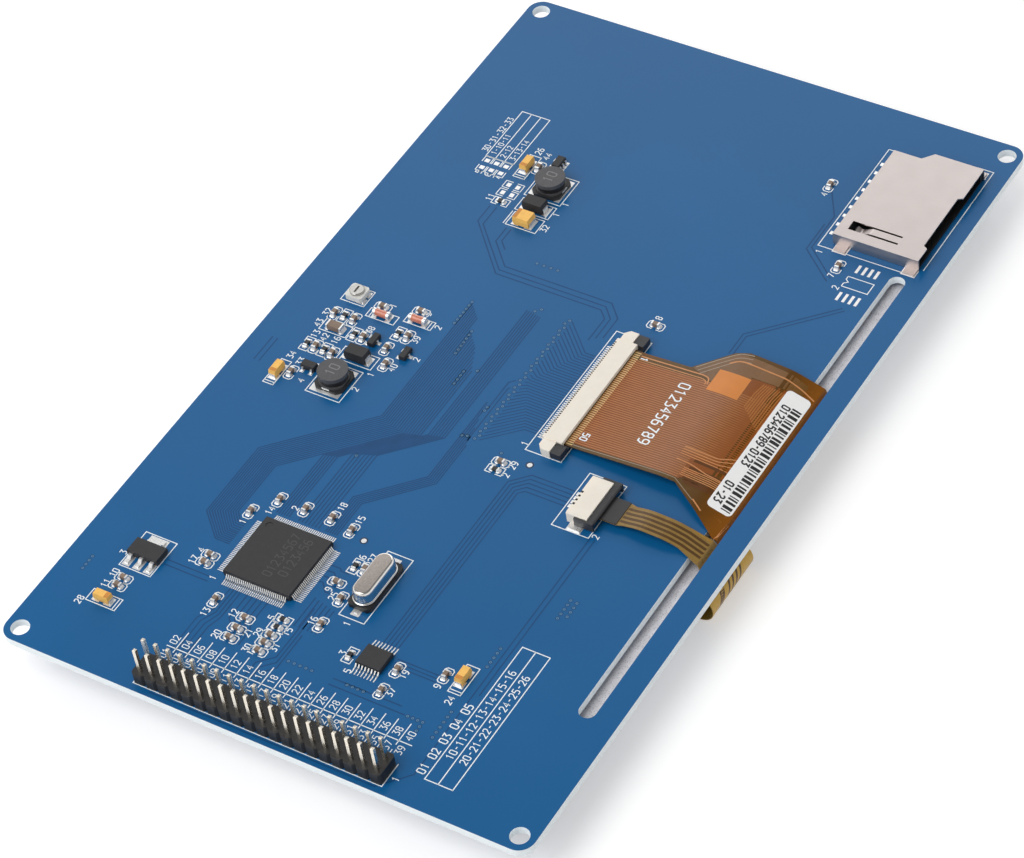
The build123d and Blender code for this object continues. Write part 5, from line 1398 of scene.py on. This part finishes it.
class MODULE_OT_display_flex(Ready, bpy.types.Operator):
    """Draws the copper lines, stiffener edge and numbers on the display flex"""

    bl_idname = "module.display_flex"
    bl_label = "Display flex"

    def execute(self, context):
        look = context.scene.module_flex
        film = plain_finish(
            "flex_film",
            look.film,
            0.26,
            tone=(0.3, 0.25),
            gloss=(0.12, 0.5),
            grain=(0.9, 0.02, 0.2),
            # Even film colour from -13 to -36 mm, darker round -42 mm, then a brighter deep orange towards -49 mm where
            # the flex curves: partly the film's own colour, partly painted light on the curve.
            stops=[(-13.0, look.film), (-36.0, look.film), (-42.0, (0.11, 0.045, 0.004)), (-49.0, (0.25, 0.08, 0.003))],
            Specular_IOR_Level=0.25,
            Coat_Weight=0.08,
            Coat_Roughness=0.12,
        )
        dress(["display_flex"], film.material)
        self.field(look)
        self.flare(look)
        self.lines(look)

        ink = Drawing(lay=draped_on("display_flex", 0.028))
        ink.number("50", -8.2, -16.2, 1.3, 0.26, 180.0)
        ink.number("1", 12.8, -16.2, 1.3, 0.26, 180.0)
        ink.number("0123456789", 2.2, -26.5, 2.1, 0.3, 180.0)
        ink.piece("display_flex_print", finish_once("print_ink", ink_finish), "label_white")
        self.label(context)
        return {"FINISHED"}

    def field(self, look):
        """Brown field of copper under the film, with a painted sheen in its colour, and the bare copper square."""
        field = Drawing(lay=draped_on("display_flex", 0.008))
        field.sheet([(-13.9, -10.3, 12.1), (-30.2, -10.3, 12.1), (-36.6, -10.3, 12.1)])
        field.sheet([(-36.6, -9.9, 16.0), (-37.4, -10.0, 16.2), (-40.0, -6.9, 16.4), (-44.0, -6.9, 16.6)])
        field.sheet([(-15.0, 13.9, 14.0), (-25.0, 14.3, 14.4)], across=1)
        brown = plain_finish(
            "flex_field",
            look.film,
            0.3,
            tone=(0.35, 0.3),
            gloss=(0.12, 0.5),
            grain=(0.9, 0.02, 0.2),
            # Deep orange at the top, a lighter pinker band round -35.5 mm that is painted sheen on the sloped film,
            # then deeper orange towards the bottom where the flex curves, partly its own colour and partly painted
            # light.
            stops=[
                (-13.9, (0.235, 0.052, 0.006)),
                (-25.0, (0.24, 0.073, 0.017)),
                (-35.5, (0.24, 0.088, 0.035)),
                (-38.0, (0.24, 0.068, 0.010)),
                (-44.0, (0.26, 0.068, 0.004)),
            ],
            Specular_IOR_Level=0.25,
            Coat_Weight=0.08,
            Coat_Roughness=0.12,
        )
        field.piece("display_flex_field", brown.material, "flex_amber")
        square = Drawing(lay=draped_on("display_flex", 0.024))
        square.sheet([(-30.4, 10.3, 15.7), (-36.7, 10.3, 15.8)])
        orange = plain_finish(
            "flex_square",
            (0.66, 0.235, 0.055),
            0.32,
            tone=(0.15, 0.5),
            grain=(2.0, 0.01, 0.2),
            Specular_IOR_Level=0.25,
            Coat_Weight=0.08,
            Coat_Roughness=0.12,
        )
        square.piece("display_flex_square", orange.material, "flex_amber")

    def flare(self, look):
        """Greyer film on the wide right-hand side, lighter in its middle from a painted sheen, with the bands along its
        edge.
        """
        flare = Drawing(lay=draped_on("display_flex", 0.008))
        flare.sheet([(-25.6, 14.3, 14.5), (-31.0, 12.2, 19.9), (-33.0, 12.2, 20.5), (-36.5, 12.2, 20.6)])
        flare.sheet([(-36.5, 16.3, 20.6), (-42.5, 16.7, 20.4), (-46.0, 16.9, 19.8)], across=4)
        grey = plain_finish(
            "flex_flare",
            look.film,
            0.28,
            tone=(0.3, 0.3),
            gloss=(0.12, 0.5),
            grain=(0.9, 0.02, 0.2),
            # Lighter round -38 mm: painted sheen on the sloped film.
            stops=[(-25.0, (0.17, 0.096, 0.05)), (-38.0, (0.22, 0.115, 0.052)), (-46.0, (0.17, 0.075, 0.012))],
            Specular_IOR_Level=0.25,
            Coat_Weight=0.08,
            Coat_Roughness=0.12,
        )
        flare.piece("display_flex_flare", grey.material, "flex_amber")
        bands = Drawing(lay=draped_on("display_flex", 0.014))
        for shift, width in ((0.0, 0.22), (-0.9, 0.2), (-1.8, 0.2)):
            path = [(14.6, -26.0), (18.0, -29.2), (20.5, -31.8), (21.0, -34.5)]
            bands.line(divided(rounded(shifted(path, shift), 1.2), 1.0), width)
        bands.line(divided([(-10.7, -15.0), (-10.5, -30.0), (-10.5, -36.0), (-13.4, -41.0)], 1.0), 0.16)
        pale = plain_finish(
            "flex_edge_pale", (0.30, 0.22, 0.15), 0.3, tone=(0.4, 0.8), grain=(2.0, 0.01, 0.2), Coat_Weight=0.15, Coat_Roughness=0.12
        )
        bands.piece("display_flex_bands", pale.material, "flex_amber")

    def lines(self, look):
        """Rows of copper lines, drawn as the film shows them, with a painted sheen in their colour."""
        rows = Drawing(lay=draped_on("display_flex", 0.016))
        for i in range(45):
            x = -10.0 + 0.5 * i
            foot = -36.2 if i < 10 else -43.6
            rows.line(divided([(x, -15.0), (x, foot)], 1.0), look.line_width)
        pink = plain_finish(
            "flex_lines",
            look.copper,
            0.3,
            tone=(0.35, 0.8),
            grain=(2.0, 0.01, 0.2),
            # Lighter and pinker round -34 mm, a painted sheen on the sloped film; darker and deeper orange towards the
            # bottom where the flex curves, partly their own colour and partly painted light.
            stops=[
                (-15.0, (0.42, 0.165, 0.048)),
                (-34.0, (0.41, 0.185, 0.088)),
                (-37.0, (0.40, 0.165, 0.055)),
                (-40.5, (0.27, 0.08, 0.011)),
                (-44.0, (0.29, 0.08, 0.006)),
            ],
            Specular_IOR_Level=0.25,
            Coat_Weight=0.08,
            Coat_Roughness=0.12,
        )
        rows.piece("display_flex_lines", pink.material, "flex_amber")

        fan = Drawing(lay=draped_on("display_flex", 0.02))
        for i in range(11):
            path = [(9.6 - 0.42 * i, -38.6 - 0.47 * i), (13.2, -38.7 - 0.47 * i), (15.9, -39.2 - 0.45 * i)]
            fan.line(divided(path, 1.0), look.line_width * 0.9)
        russet = plain_finish(
            "flex_fan_lines",
            (0.42, 0.155, 0.035),
            0.3,
            tone=(0.35, 0.8),
            grain=(2.0, 0.01, 0.2),
            Specular_IOR_Level=0.25,
            Coat_Weight=0.08,
            Coat_Roughness=0.12,
        )
        fan.piece("display_flex_fan_lines", russet.material, "flex_amber")

        gaps = Drawing(lay=draped_on("display_flex", 0.012))
        for x, end in ((-9.75, -44.0), (-8.6, -44.0), (-7.3, -44.0), (-5.4, -43.8)):
            gaps.line(divided([(x, -37.0), (x, end)], 1.0), 0.75)
        gaps.line(divided([(-10.4, -37.6), (-10.4, -44.0)], 1.0), 0.9)
        dark = plain_finish(
            "flex_gaps", (0.11, 0.036, 0.004), 0.32, tone=(0.4, 0.8), grain=(2.0, 0.01, 0.2), Specular_IOR_Level=0.25, Coat_Weight=0.08, Coat_Roughness=0.12
        )
        gaps.piece("display_flex_gaps", dark.material, "flex_amber")

        bright = Drawing(lay=draped_on("display_flex", 0.022))
        for i in range(5):
            x = -9.35 + 0.42 * i
            bright.line(divided([(x + 0.05, -36.2), (x, -44.0)], 1.0), 0.17)
        for path, width in (
            ([(-6.4, -34.0), (-6.5, -37.0), (-7.3, -40.5), (-7.4, -44.0)], 0.22),
            ([(-5.0, -34.0), (-5.0, -44.0)], 0.16),
            ([(-4.5, -34.0), (-4.4, -41.4), (-3.5, -43.8)], 0.18),
            ([(-3.9, -34.0), (-3.8, -41.0), (-2.4, -43.7)], 0.18),
            ([(-3.3, -34.0), (-3.2, -40.6), (-1.6, -43.5)], 0.2),
            ([(12.45, -15.4), (12.45, -28.6), (12.1, -29.5), (11.3, -29.6)], 0.2),
            ([(13.3, -15.4), (13.3, -28.6), (12.9, -29.7), (11.6, -29.95)], 0.26),
            ([(17.6, -31.2), (18.5, -32.2), (18.95, -33.4), (18.95, -42.0), (18.5, -45.4), (17.4, -49.0)], 0.3),
            ([(-13.2, -41.0), (-14.7, -43.4)], 0.26),
            ([(-18.3, -48.1), (-14.3, -48.4)], 0.3),
        ):
            bright.line(divided(rounded(path, 0.8), 1.0), width)
        glint = plain_finish(
            "flex_bright_lines",
            look.copper,
            0.3,
            tone=(0.25, 0.8),
            grain=(2.0, 0.01, 0.2),
            Specular_IOR_Level=0.25,
            Coat_Weight=0.08,
            Coat_Roughness=0.12,
        )
        bright.piece("display_flex_bright_lines", glint.material, "flex_amber")

        contacts = Drawing(lay=draped_on("display_flex", 0.03))
        for i in range(50):
            contacts.line([(-10.8 + 0.5 * i, -13.85), (-10.8 + 0.5 * i, -14.5), (-10.8 + 0.5 * i, -15.15)], 0.24)
        gold = plain_finish(
            "flex_contacts", (0.66, 0.45, 0.20), 0.34, metallic=0.5, tone=(0.3, 1.5), grain=(6.0, 0.01, 0.2)
        )
        contacts.piece("display_flex_contacts", gold.material, "flex_amber")

    def label(self, context):
        """Plain bars and digits on the paper label."""
        dress(
            ["display_flex_label"],
            plain_finish("label_paper", (0.92, 0.92, 0.91), 0.55, tone=(0.06, 0.8), grain=(10.0, 0.006, 0.3)).material,
        )
        marks = Drawing(lay=draped_on("display_flex_label", 0.012))
        x = -12.2
        for i in range(60):
            thick = 0.24 + 0.15 * ((i * 7) % 4)
            marks.line([(x + thick / 2, -45.9), (x + thick / 2, -46.8), (x + thick / 2 - 0.05, -47.7)], thick)
            x += thick + 0.24 + 0.13 * ((i * 5) % 3)
            if x > 14.2:
                break
        marks.number("01-23", -8.8, -44.7, 1.35, 0.3, 180.0)
        marks.number("0123456789-0123", 6.0, -44.9, 1.35, 0.3, 180.0)
        black = plain_finish("label_black", (0.012, 0.012, 0.013), 0.6, tone=(0.3, 2.0), grain=(10.0, 0.005, 0.3))
        marks.piece("label_marks", black.material, "label_white")


class MODULE_OT_touch_flex(Ready, bpy.types.Operator):
    """Draws the four tracks on the touch flex and finishes its stiffener"""

    bl_idname = "module.touch_flex"
    bl_label = "Touch flex"

    def execute(self, context):
        look = context.scene.module_flex
        # The film turns a brighter gold below -49.5 mm on the fold, which faces down into dim light: painted light on
        # the fold.
        film = plain_finish(
            "touch_flex_film", look.touch_film, 0.28, tone=(0.25, 0.3), gloss=(0.12, 0.5), grain=(0.9, 0.02, 0.2), stops=[(-54.0, (0.56, 0.34, 0.06)), (-51.5, (0.50, 0.30, 0.05)), (-49.5, look.touch_film), (-30.0, look.touch_film)], Specular_IOR_Level=0.25, Coat_Weight=0.08, Coat_Roughness=0.12
        )
        dress(["touch_flex"], film.material)
        dress(
            ["touch_flex_stiffener"],
            plain_finish(
                "stiffener_film", (0.03, 0.029, 0.03), 0.42, tone=(0.3, 1.0), gloss=(0.2, 1.0), grain=(3.0, 0.01, 0.3)
            ).material,
        )
        tracks = Drawing(lay=draped_on("touch_flex", 0.012))
        for i in range(4):
            x = -22.65 + 1.02 * i
            tracks.line(divided([(x, -31.9), (x, -44.0), (x - 0.5, -48.0), (x - 0.6, -48.5)], 0.9), 0.56)
        dark = plain_finish(
            "touch_flex_tracks", (0.10, 0.05, 0.016), 0.3, tone=(0.3, 0.8), grain=(2.0, 0.01, 0.2), Specular_IOR_Level=0.25, Coat_Weight=0.08, Coat_Roughness=0.12
        )
        tracks.piece("touch_flex_lines", dark.material, "flex_amber")
        rim = Drawing(lay=draped_on("touch_flex", 0.012))
        rim.line(divided([(-18.75, -32.2), (-18.75, -44.0), (-19.2, -48.0)], 0.9), 0.26)
        gold = plain_finish(
            "touch_flex_rim", (0.36, 0.19, 0.03), 0.3, tone=(0.3, 0.8), grain=(2.0, 0.01, 0.2), Specular_IOR_Level=0.25, Coat_Weight=0.08, Coat_Roughness=0.12
        )
        rim.piece("touch_flex_edge", gold.material, "flex_amber")
        low, high = (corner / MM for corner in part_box("touch_flex"))
        fold = Drawing(lay=faced_on("touch_flex", 0.012))
        for x, width in ((2.2, 1.3), (4.6, 0.5), (5.9, 0.5), (7.2, 0.5), (8.5, 0.5)):
            path = [(low.x + x, 1.2), (low.x + x + 1.1, 3.4), (low.x + x + 2.2, 5.7)]
            fold.line(divided(path, 0.5), width)
        fold.piece("touch_flex_fold_lines", dark.material, "flex_amber")
        return {"FINISHED"}


class MODULE_OT_card_socket(Ready, bpy.types.Operator):
    """Finishes the stainless shell of the card socket"""

    bl_idname = "module.card_socket"
    bl_label = "Card socket"

    def execute(self, context):
        look = context.scene.module_parts
        dress(
            ["card_socket_shell"],
            plain_finish(
                "socket_stainless", look.stainless, 0.34, metallic=1.0, tone=(0.06, 0.1), gloss=(0.12, 0.4), brushed=(0.08, (9.0, 0.4, 9.0)), grain=(9.0, 0.003, 0.2)
            ).material,
        )
        ledge = Drawing()
        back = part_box("card_socket_body")[1].y / MM
        middles = [(low.x + high.x) / 2 for low, high in parts_of("card_socket_contacts")]
        for first, second in zip(middles, middles[1:]):
            ledge.block(
                (first + 0.5, back - 0.3, BOARD_TOP + 0.05), (second - 0.5, back + 0.75, BOARD_TOP + 0.75), 0.1
            )
        nylon = plain_finish(
            "socket_ledge", (0.012, 0.012, 0.013), 0.45, tone=(0.5, 1.2), gloss=(0.3, 2.0), grain=(14.0, 0.012, 0.6)
        )
        ledge.piece("card_socket_ledge", nylon.material, "housing_black")
        return {"FINISHED"}


class MODULE_OT_display(Ready, bpy.types.Operator):
    """Finishes the display, its backlight and the touch panel"""

    bl_idname = "module.display"
    bl_label = "Display"

    def execute(self, context):
        look = context.scene.module_display
        dress(
            ["front_bezel"],
            plain_finish(
                "display_steel", look.sheet, 0.36, metallic=1.0, tone=(0.1, 0.05), gloss=(0.15, 0.3), brushed=(0.1, (0.3, 9.0, 9.0)), grain=(9.0, 0.003, 0.2)
            ).material,
        )
        dress(
            ["rear_shell"],
            plain_finish(
                "shell_zinc", (0.78, 0.76, 0.79), 0.5, metallic=0.1, tone=(0.4, 0.8), gloss=(0.3, 1.2), speck=((0.42, 0.41, 0.44), 3.4, 0.26), grain=(3.0, 0.02, 0.6)
            ).material,
        )
        dress(
            ["front_polarizer", "rear_polarizer"],
            plain_finish(
                "polarizer_film", look.cell, 0.12, tone=(0.3, 0.05), gloss=(0.06, 0.2), grain=(0.5, 0.001, 0.1)
            ).material,
        )
        dress(
            ["front_glass", "rear_glass"],
            plain_finish(
                "cell_glass_green", (0.20, 0.26, 0.24), 0.08, tone=(0.1, 0.05), gloss=(0.04, 0.2), grain=(0.5, 0.001, 0.1), Transmission_Weight=0.6
            ).material,
        )
        dress(
            ["touch_glass"],
            plain_finish(
                "panel_glass_clear", (0.90, 0.94, 0.92), 0.03, tone=(0.03, 0.03), gloss=(0.02, 0.1), grain=(0.2, 0.0005, 0.1), Transmission_Weight=1.0, IOR=1.5
            ).material,
        )
        dress(
            ["touch_film"],
            plain_finish(
                "panel_film_clear", (0.90, 0.91, 0.92), 0.06, tone=(0.03, 0.03), gloss=(0.03, 0.1), grain=(0.3, 0.0008, 0.1), Transmission_Weight=1.0, IOR=1.49
            ).material,
        )
        dress(
            ["backlight_frame"],
            plain_finish("frame_moulding", (0.02, 0.02, 0.021), 0.5, tone=(0.3, 0.4), grain=(8.0, 0.01, 0.5)).material,
        )
        dress(
            ["light_guide"],
            plain_finish(
                "guide_acrylic", (0.86, 0.90, 0.92), 0.08, tone=(0.05, 0.1), grain=(0.6, 0.001, 0.2), Transmission_Weight=0.9, IOR=1.49
            ).material,
        )
        dress(
            ["diffuser_sheets", "reflector_sheet", "led_strip", "touch_gasket"],
            plain_finish("white_sheet", (0.80, 0.81, 0.82), 0.5, tone=(0.08, 0.1), grain=(4.0, 0.004, 0.4)).material,
        )
        dress(
            ["backlight_leds"],
            plain_finish("led_body", (0.82, 0.80, 0.66), 0.4, tone=(0.2, 0.8), grain=(6.0, 0.01, 0.4)).material,
        )
        dress(
            ["foam_tape"],
            plain_finish(
                "foam_grey", (0.55, 0.56, 0.56), 0.85, tone=(0.3, 1.4), speck=((0.30, 0.31, 0.31), 2.6, 0.28), grain=(2.6, 0.12, 1.0)
            ).material,
        )
        return {"FINISHED"}


class MODULE_OT_stage(Ready, bpy.types.Operator):
    """Sets the pale floor, the soft lamps, the sky and the camera"""

    bl_idname = "module.stage"
    bl_label = "Stage"

    def execute(self, context):
        look = context.scene.module_stage
        self.floor(look)
        self.sky(context, look)
        self.lamp("key_lamp", (-0.55, 0.35, 0.95), 0.9, look.key_power)
        self.lamp("far_lamp", (1.33, 0.72, 0.92), 1.2, look.key_power * 0.78)
        self.camera(context, look)
        context.scene.view_settings.view_transform = "Standard"
        return {"FINISHED"}

    def floor(self, look):
        half = look.floor_size / 2
        mesh = bpy.data.meshes.new("floor")
        level = -0.0003
        mesh.from_pydata([(-half, -half, level), (half, -half, level), (half, half, level), (-half, half, level)], [], [(0, 1, 2, 3)])
        obj = bpy.data.objects.new("floor", mesh)
        bpy.context.scene.collection.objects.link(obj)
        finish = plain_finish("floor_paper", look.floor, 0.9, tone=(0.004, 0.002), gloss=(0.0, 0.01), grain=(0.5, 0.0, 0.0), Specular_IOR_Level=0.1)
        tree = finish.tree
        paths = tree.nodes.new("ShaderNodeLightPath")
        seen = add_node(tree, "ShaderNodeMath", operation="ADD", use_clamp=True, i0=paths.outputs["Is Camera Ray"], i1=paths.outputs["Is Glossy Ray"])
        either = add_node(tree, "ShaderNodeMath", operation="ADD", use_clamp=True, i0=seen.outputs[0], i1=paths.outputs["Is Transmission Ray"])
        glow = add_node(tree, "ShaderNodeMath", operation="MULTIPLY", i0=either.outputs[0], i1=0.4)
        tree.links.new(glow.outputs[0], finish.shader.inputs["Emission Strength"])
        finish.set(Emission_Color=WHITE)
        mesh.materials.append(finish.material)

    def sky(self, context, look):
        world = bpy.data.worlds.new("sky")
        context.scene.world = world
        world.use_nodes = True
        tree = world.node_tree
        background = tree.nodes["Background"]
        background.inputs["Color"].default_value = WHITE
        direction = add_node(tree, "ShaderNodeSeparateXYZ", Vector=tree.nodes.new("ShaderNodeTexCoord").outputs["Generated"])
        level = add_node(
            tree, "ShaderNodeMapRange", Value=direction.outputs["Z"], From_Min=0.35, From_Max=0.7, To_Min=1.0, To_Max=look.sky
        )
        tree.links.new(level.outputs[0], background.inputs["Strength"])

    def lamp(self, name, place, size, power):
        light = bpy.data.lights.new(name, "AREA")
        light.shape = "SQUARE"
        light.size = size
        light.energy = power
        obj = bpy.data.objects.new(name, light)
        obj.location = place
        obj.rotation_euler = (-Vector(place)).to_track_quat("-Z", "Y").to_euler()
        bpy.context.scene.collection.objects.link(obj)

    def camera(self, context, look):
        data = bpy.data.cameras.new("camera")
        data.lens = look.lens
        data.sensor_width = 36.0
        data.clip_start = 0.01
        obj = bpy.data.objects.new("camera", data)
        right = Vector((0.5169365, -0.8478786, -0.1178074))
        back = Vector((-0.5410217, -0.4302545, 0.7226178))
        up = back.cross(right)
        obj.matrix_world = Matrix(
            (
                (right.x, up.x, back.x, -0.390513),
                (right.y, up.y, back.y, -0.304345),
                (right.z, up.z, back.z, 0.506682 + BOARD_TOP * MM),
                (0, 0, 0, 1),
            )
        )
        context.scene.collection.objects.link(obj)
        context.scene.camera = obj


STEPS = (
    MODULE_OT_board,
    MODULE_OT_tracks,
    MODULE_OT_print,
    MODULE_OT_pads,
    MODULE_OT_header,
    MODULE_OT_packages,
    MODULE_OT_small_parts,
    MODULE_OT_crystal,
    MODULE_OT_connectors,
    MODULE_OT_display_flex,
    MODULE_OT_touch_flex,
    MODULE_OT_card_socket,
    MODULE_OT_display,
    MODULE_OT_stage,
)

LOOKS = {
    "module_board": BoardLook,
    "module_parts": PartsLook,
    "module_flex": FlexLook,
    "module_display": DisplayLook,
    "module_stage": StageLook,
}


class MODULE_PT_panel(bpy.types.Panel):
    """Lists the steps that build the looks of the display module"""

    bl_label = "Display module"
    bl_idname = "MODULE_PT_panel"
    bl_space_type = "VIEW_3D"
    bl_region_type = "UI"
    bl_category = "Display module"

    def draw(self, context):
        layout = self.layout
        for step in STEPS:
            layout.operator(step.bl_idname)
        for label in LOOKS:
            look = getattr(context.scene, label)
            box = layout.box()
            for field in look.__annotations__:
                box.prop(look, field)


def register():
    for look in LOOKS.values():
        bpy.utils.register_class(look)
    for label, look in LOOKS.items():
        setattr(bpy.types.Scene, label, PointerProperty(type=look))
    for step in STEPS:
        bpy.utils.register_class(step)
    bpy.utils.register_class(MODULE_PT_panel)


def unregister():
    bpy.utils.unregister_class(MODULE_PT_panel)
    for step in reversed(STEPS):
        bpy.utils.unregister_class(step)
    for label, look in LOOKS.items():
        delattr(bpy.types.Scene, label)
        bpy.utils.unregister_class(look)


def main():
    register()
    bpy.ops.module.board()
    bpy.ops.module.tracks()
    bpy.ops.module.print()
    bpy.ops.module.pads()
    bpy.ops.module.header()
    bpy.ops.module.packages()
    bpy.ops.module.small_parts()
    bpy.ops.module.crystal()
    bpy.ops.module.connectors()
    bpy.ops.module.display_flex()
    bpy.ops.module.touch_flex()
    bpy.ops.module.card_socket()
    bpy.ops.module.display()
    bpy.ops.module.stage()


if __name__ == "__main__":
    main()
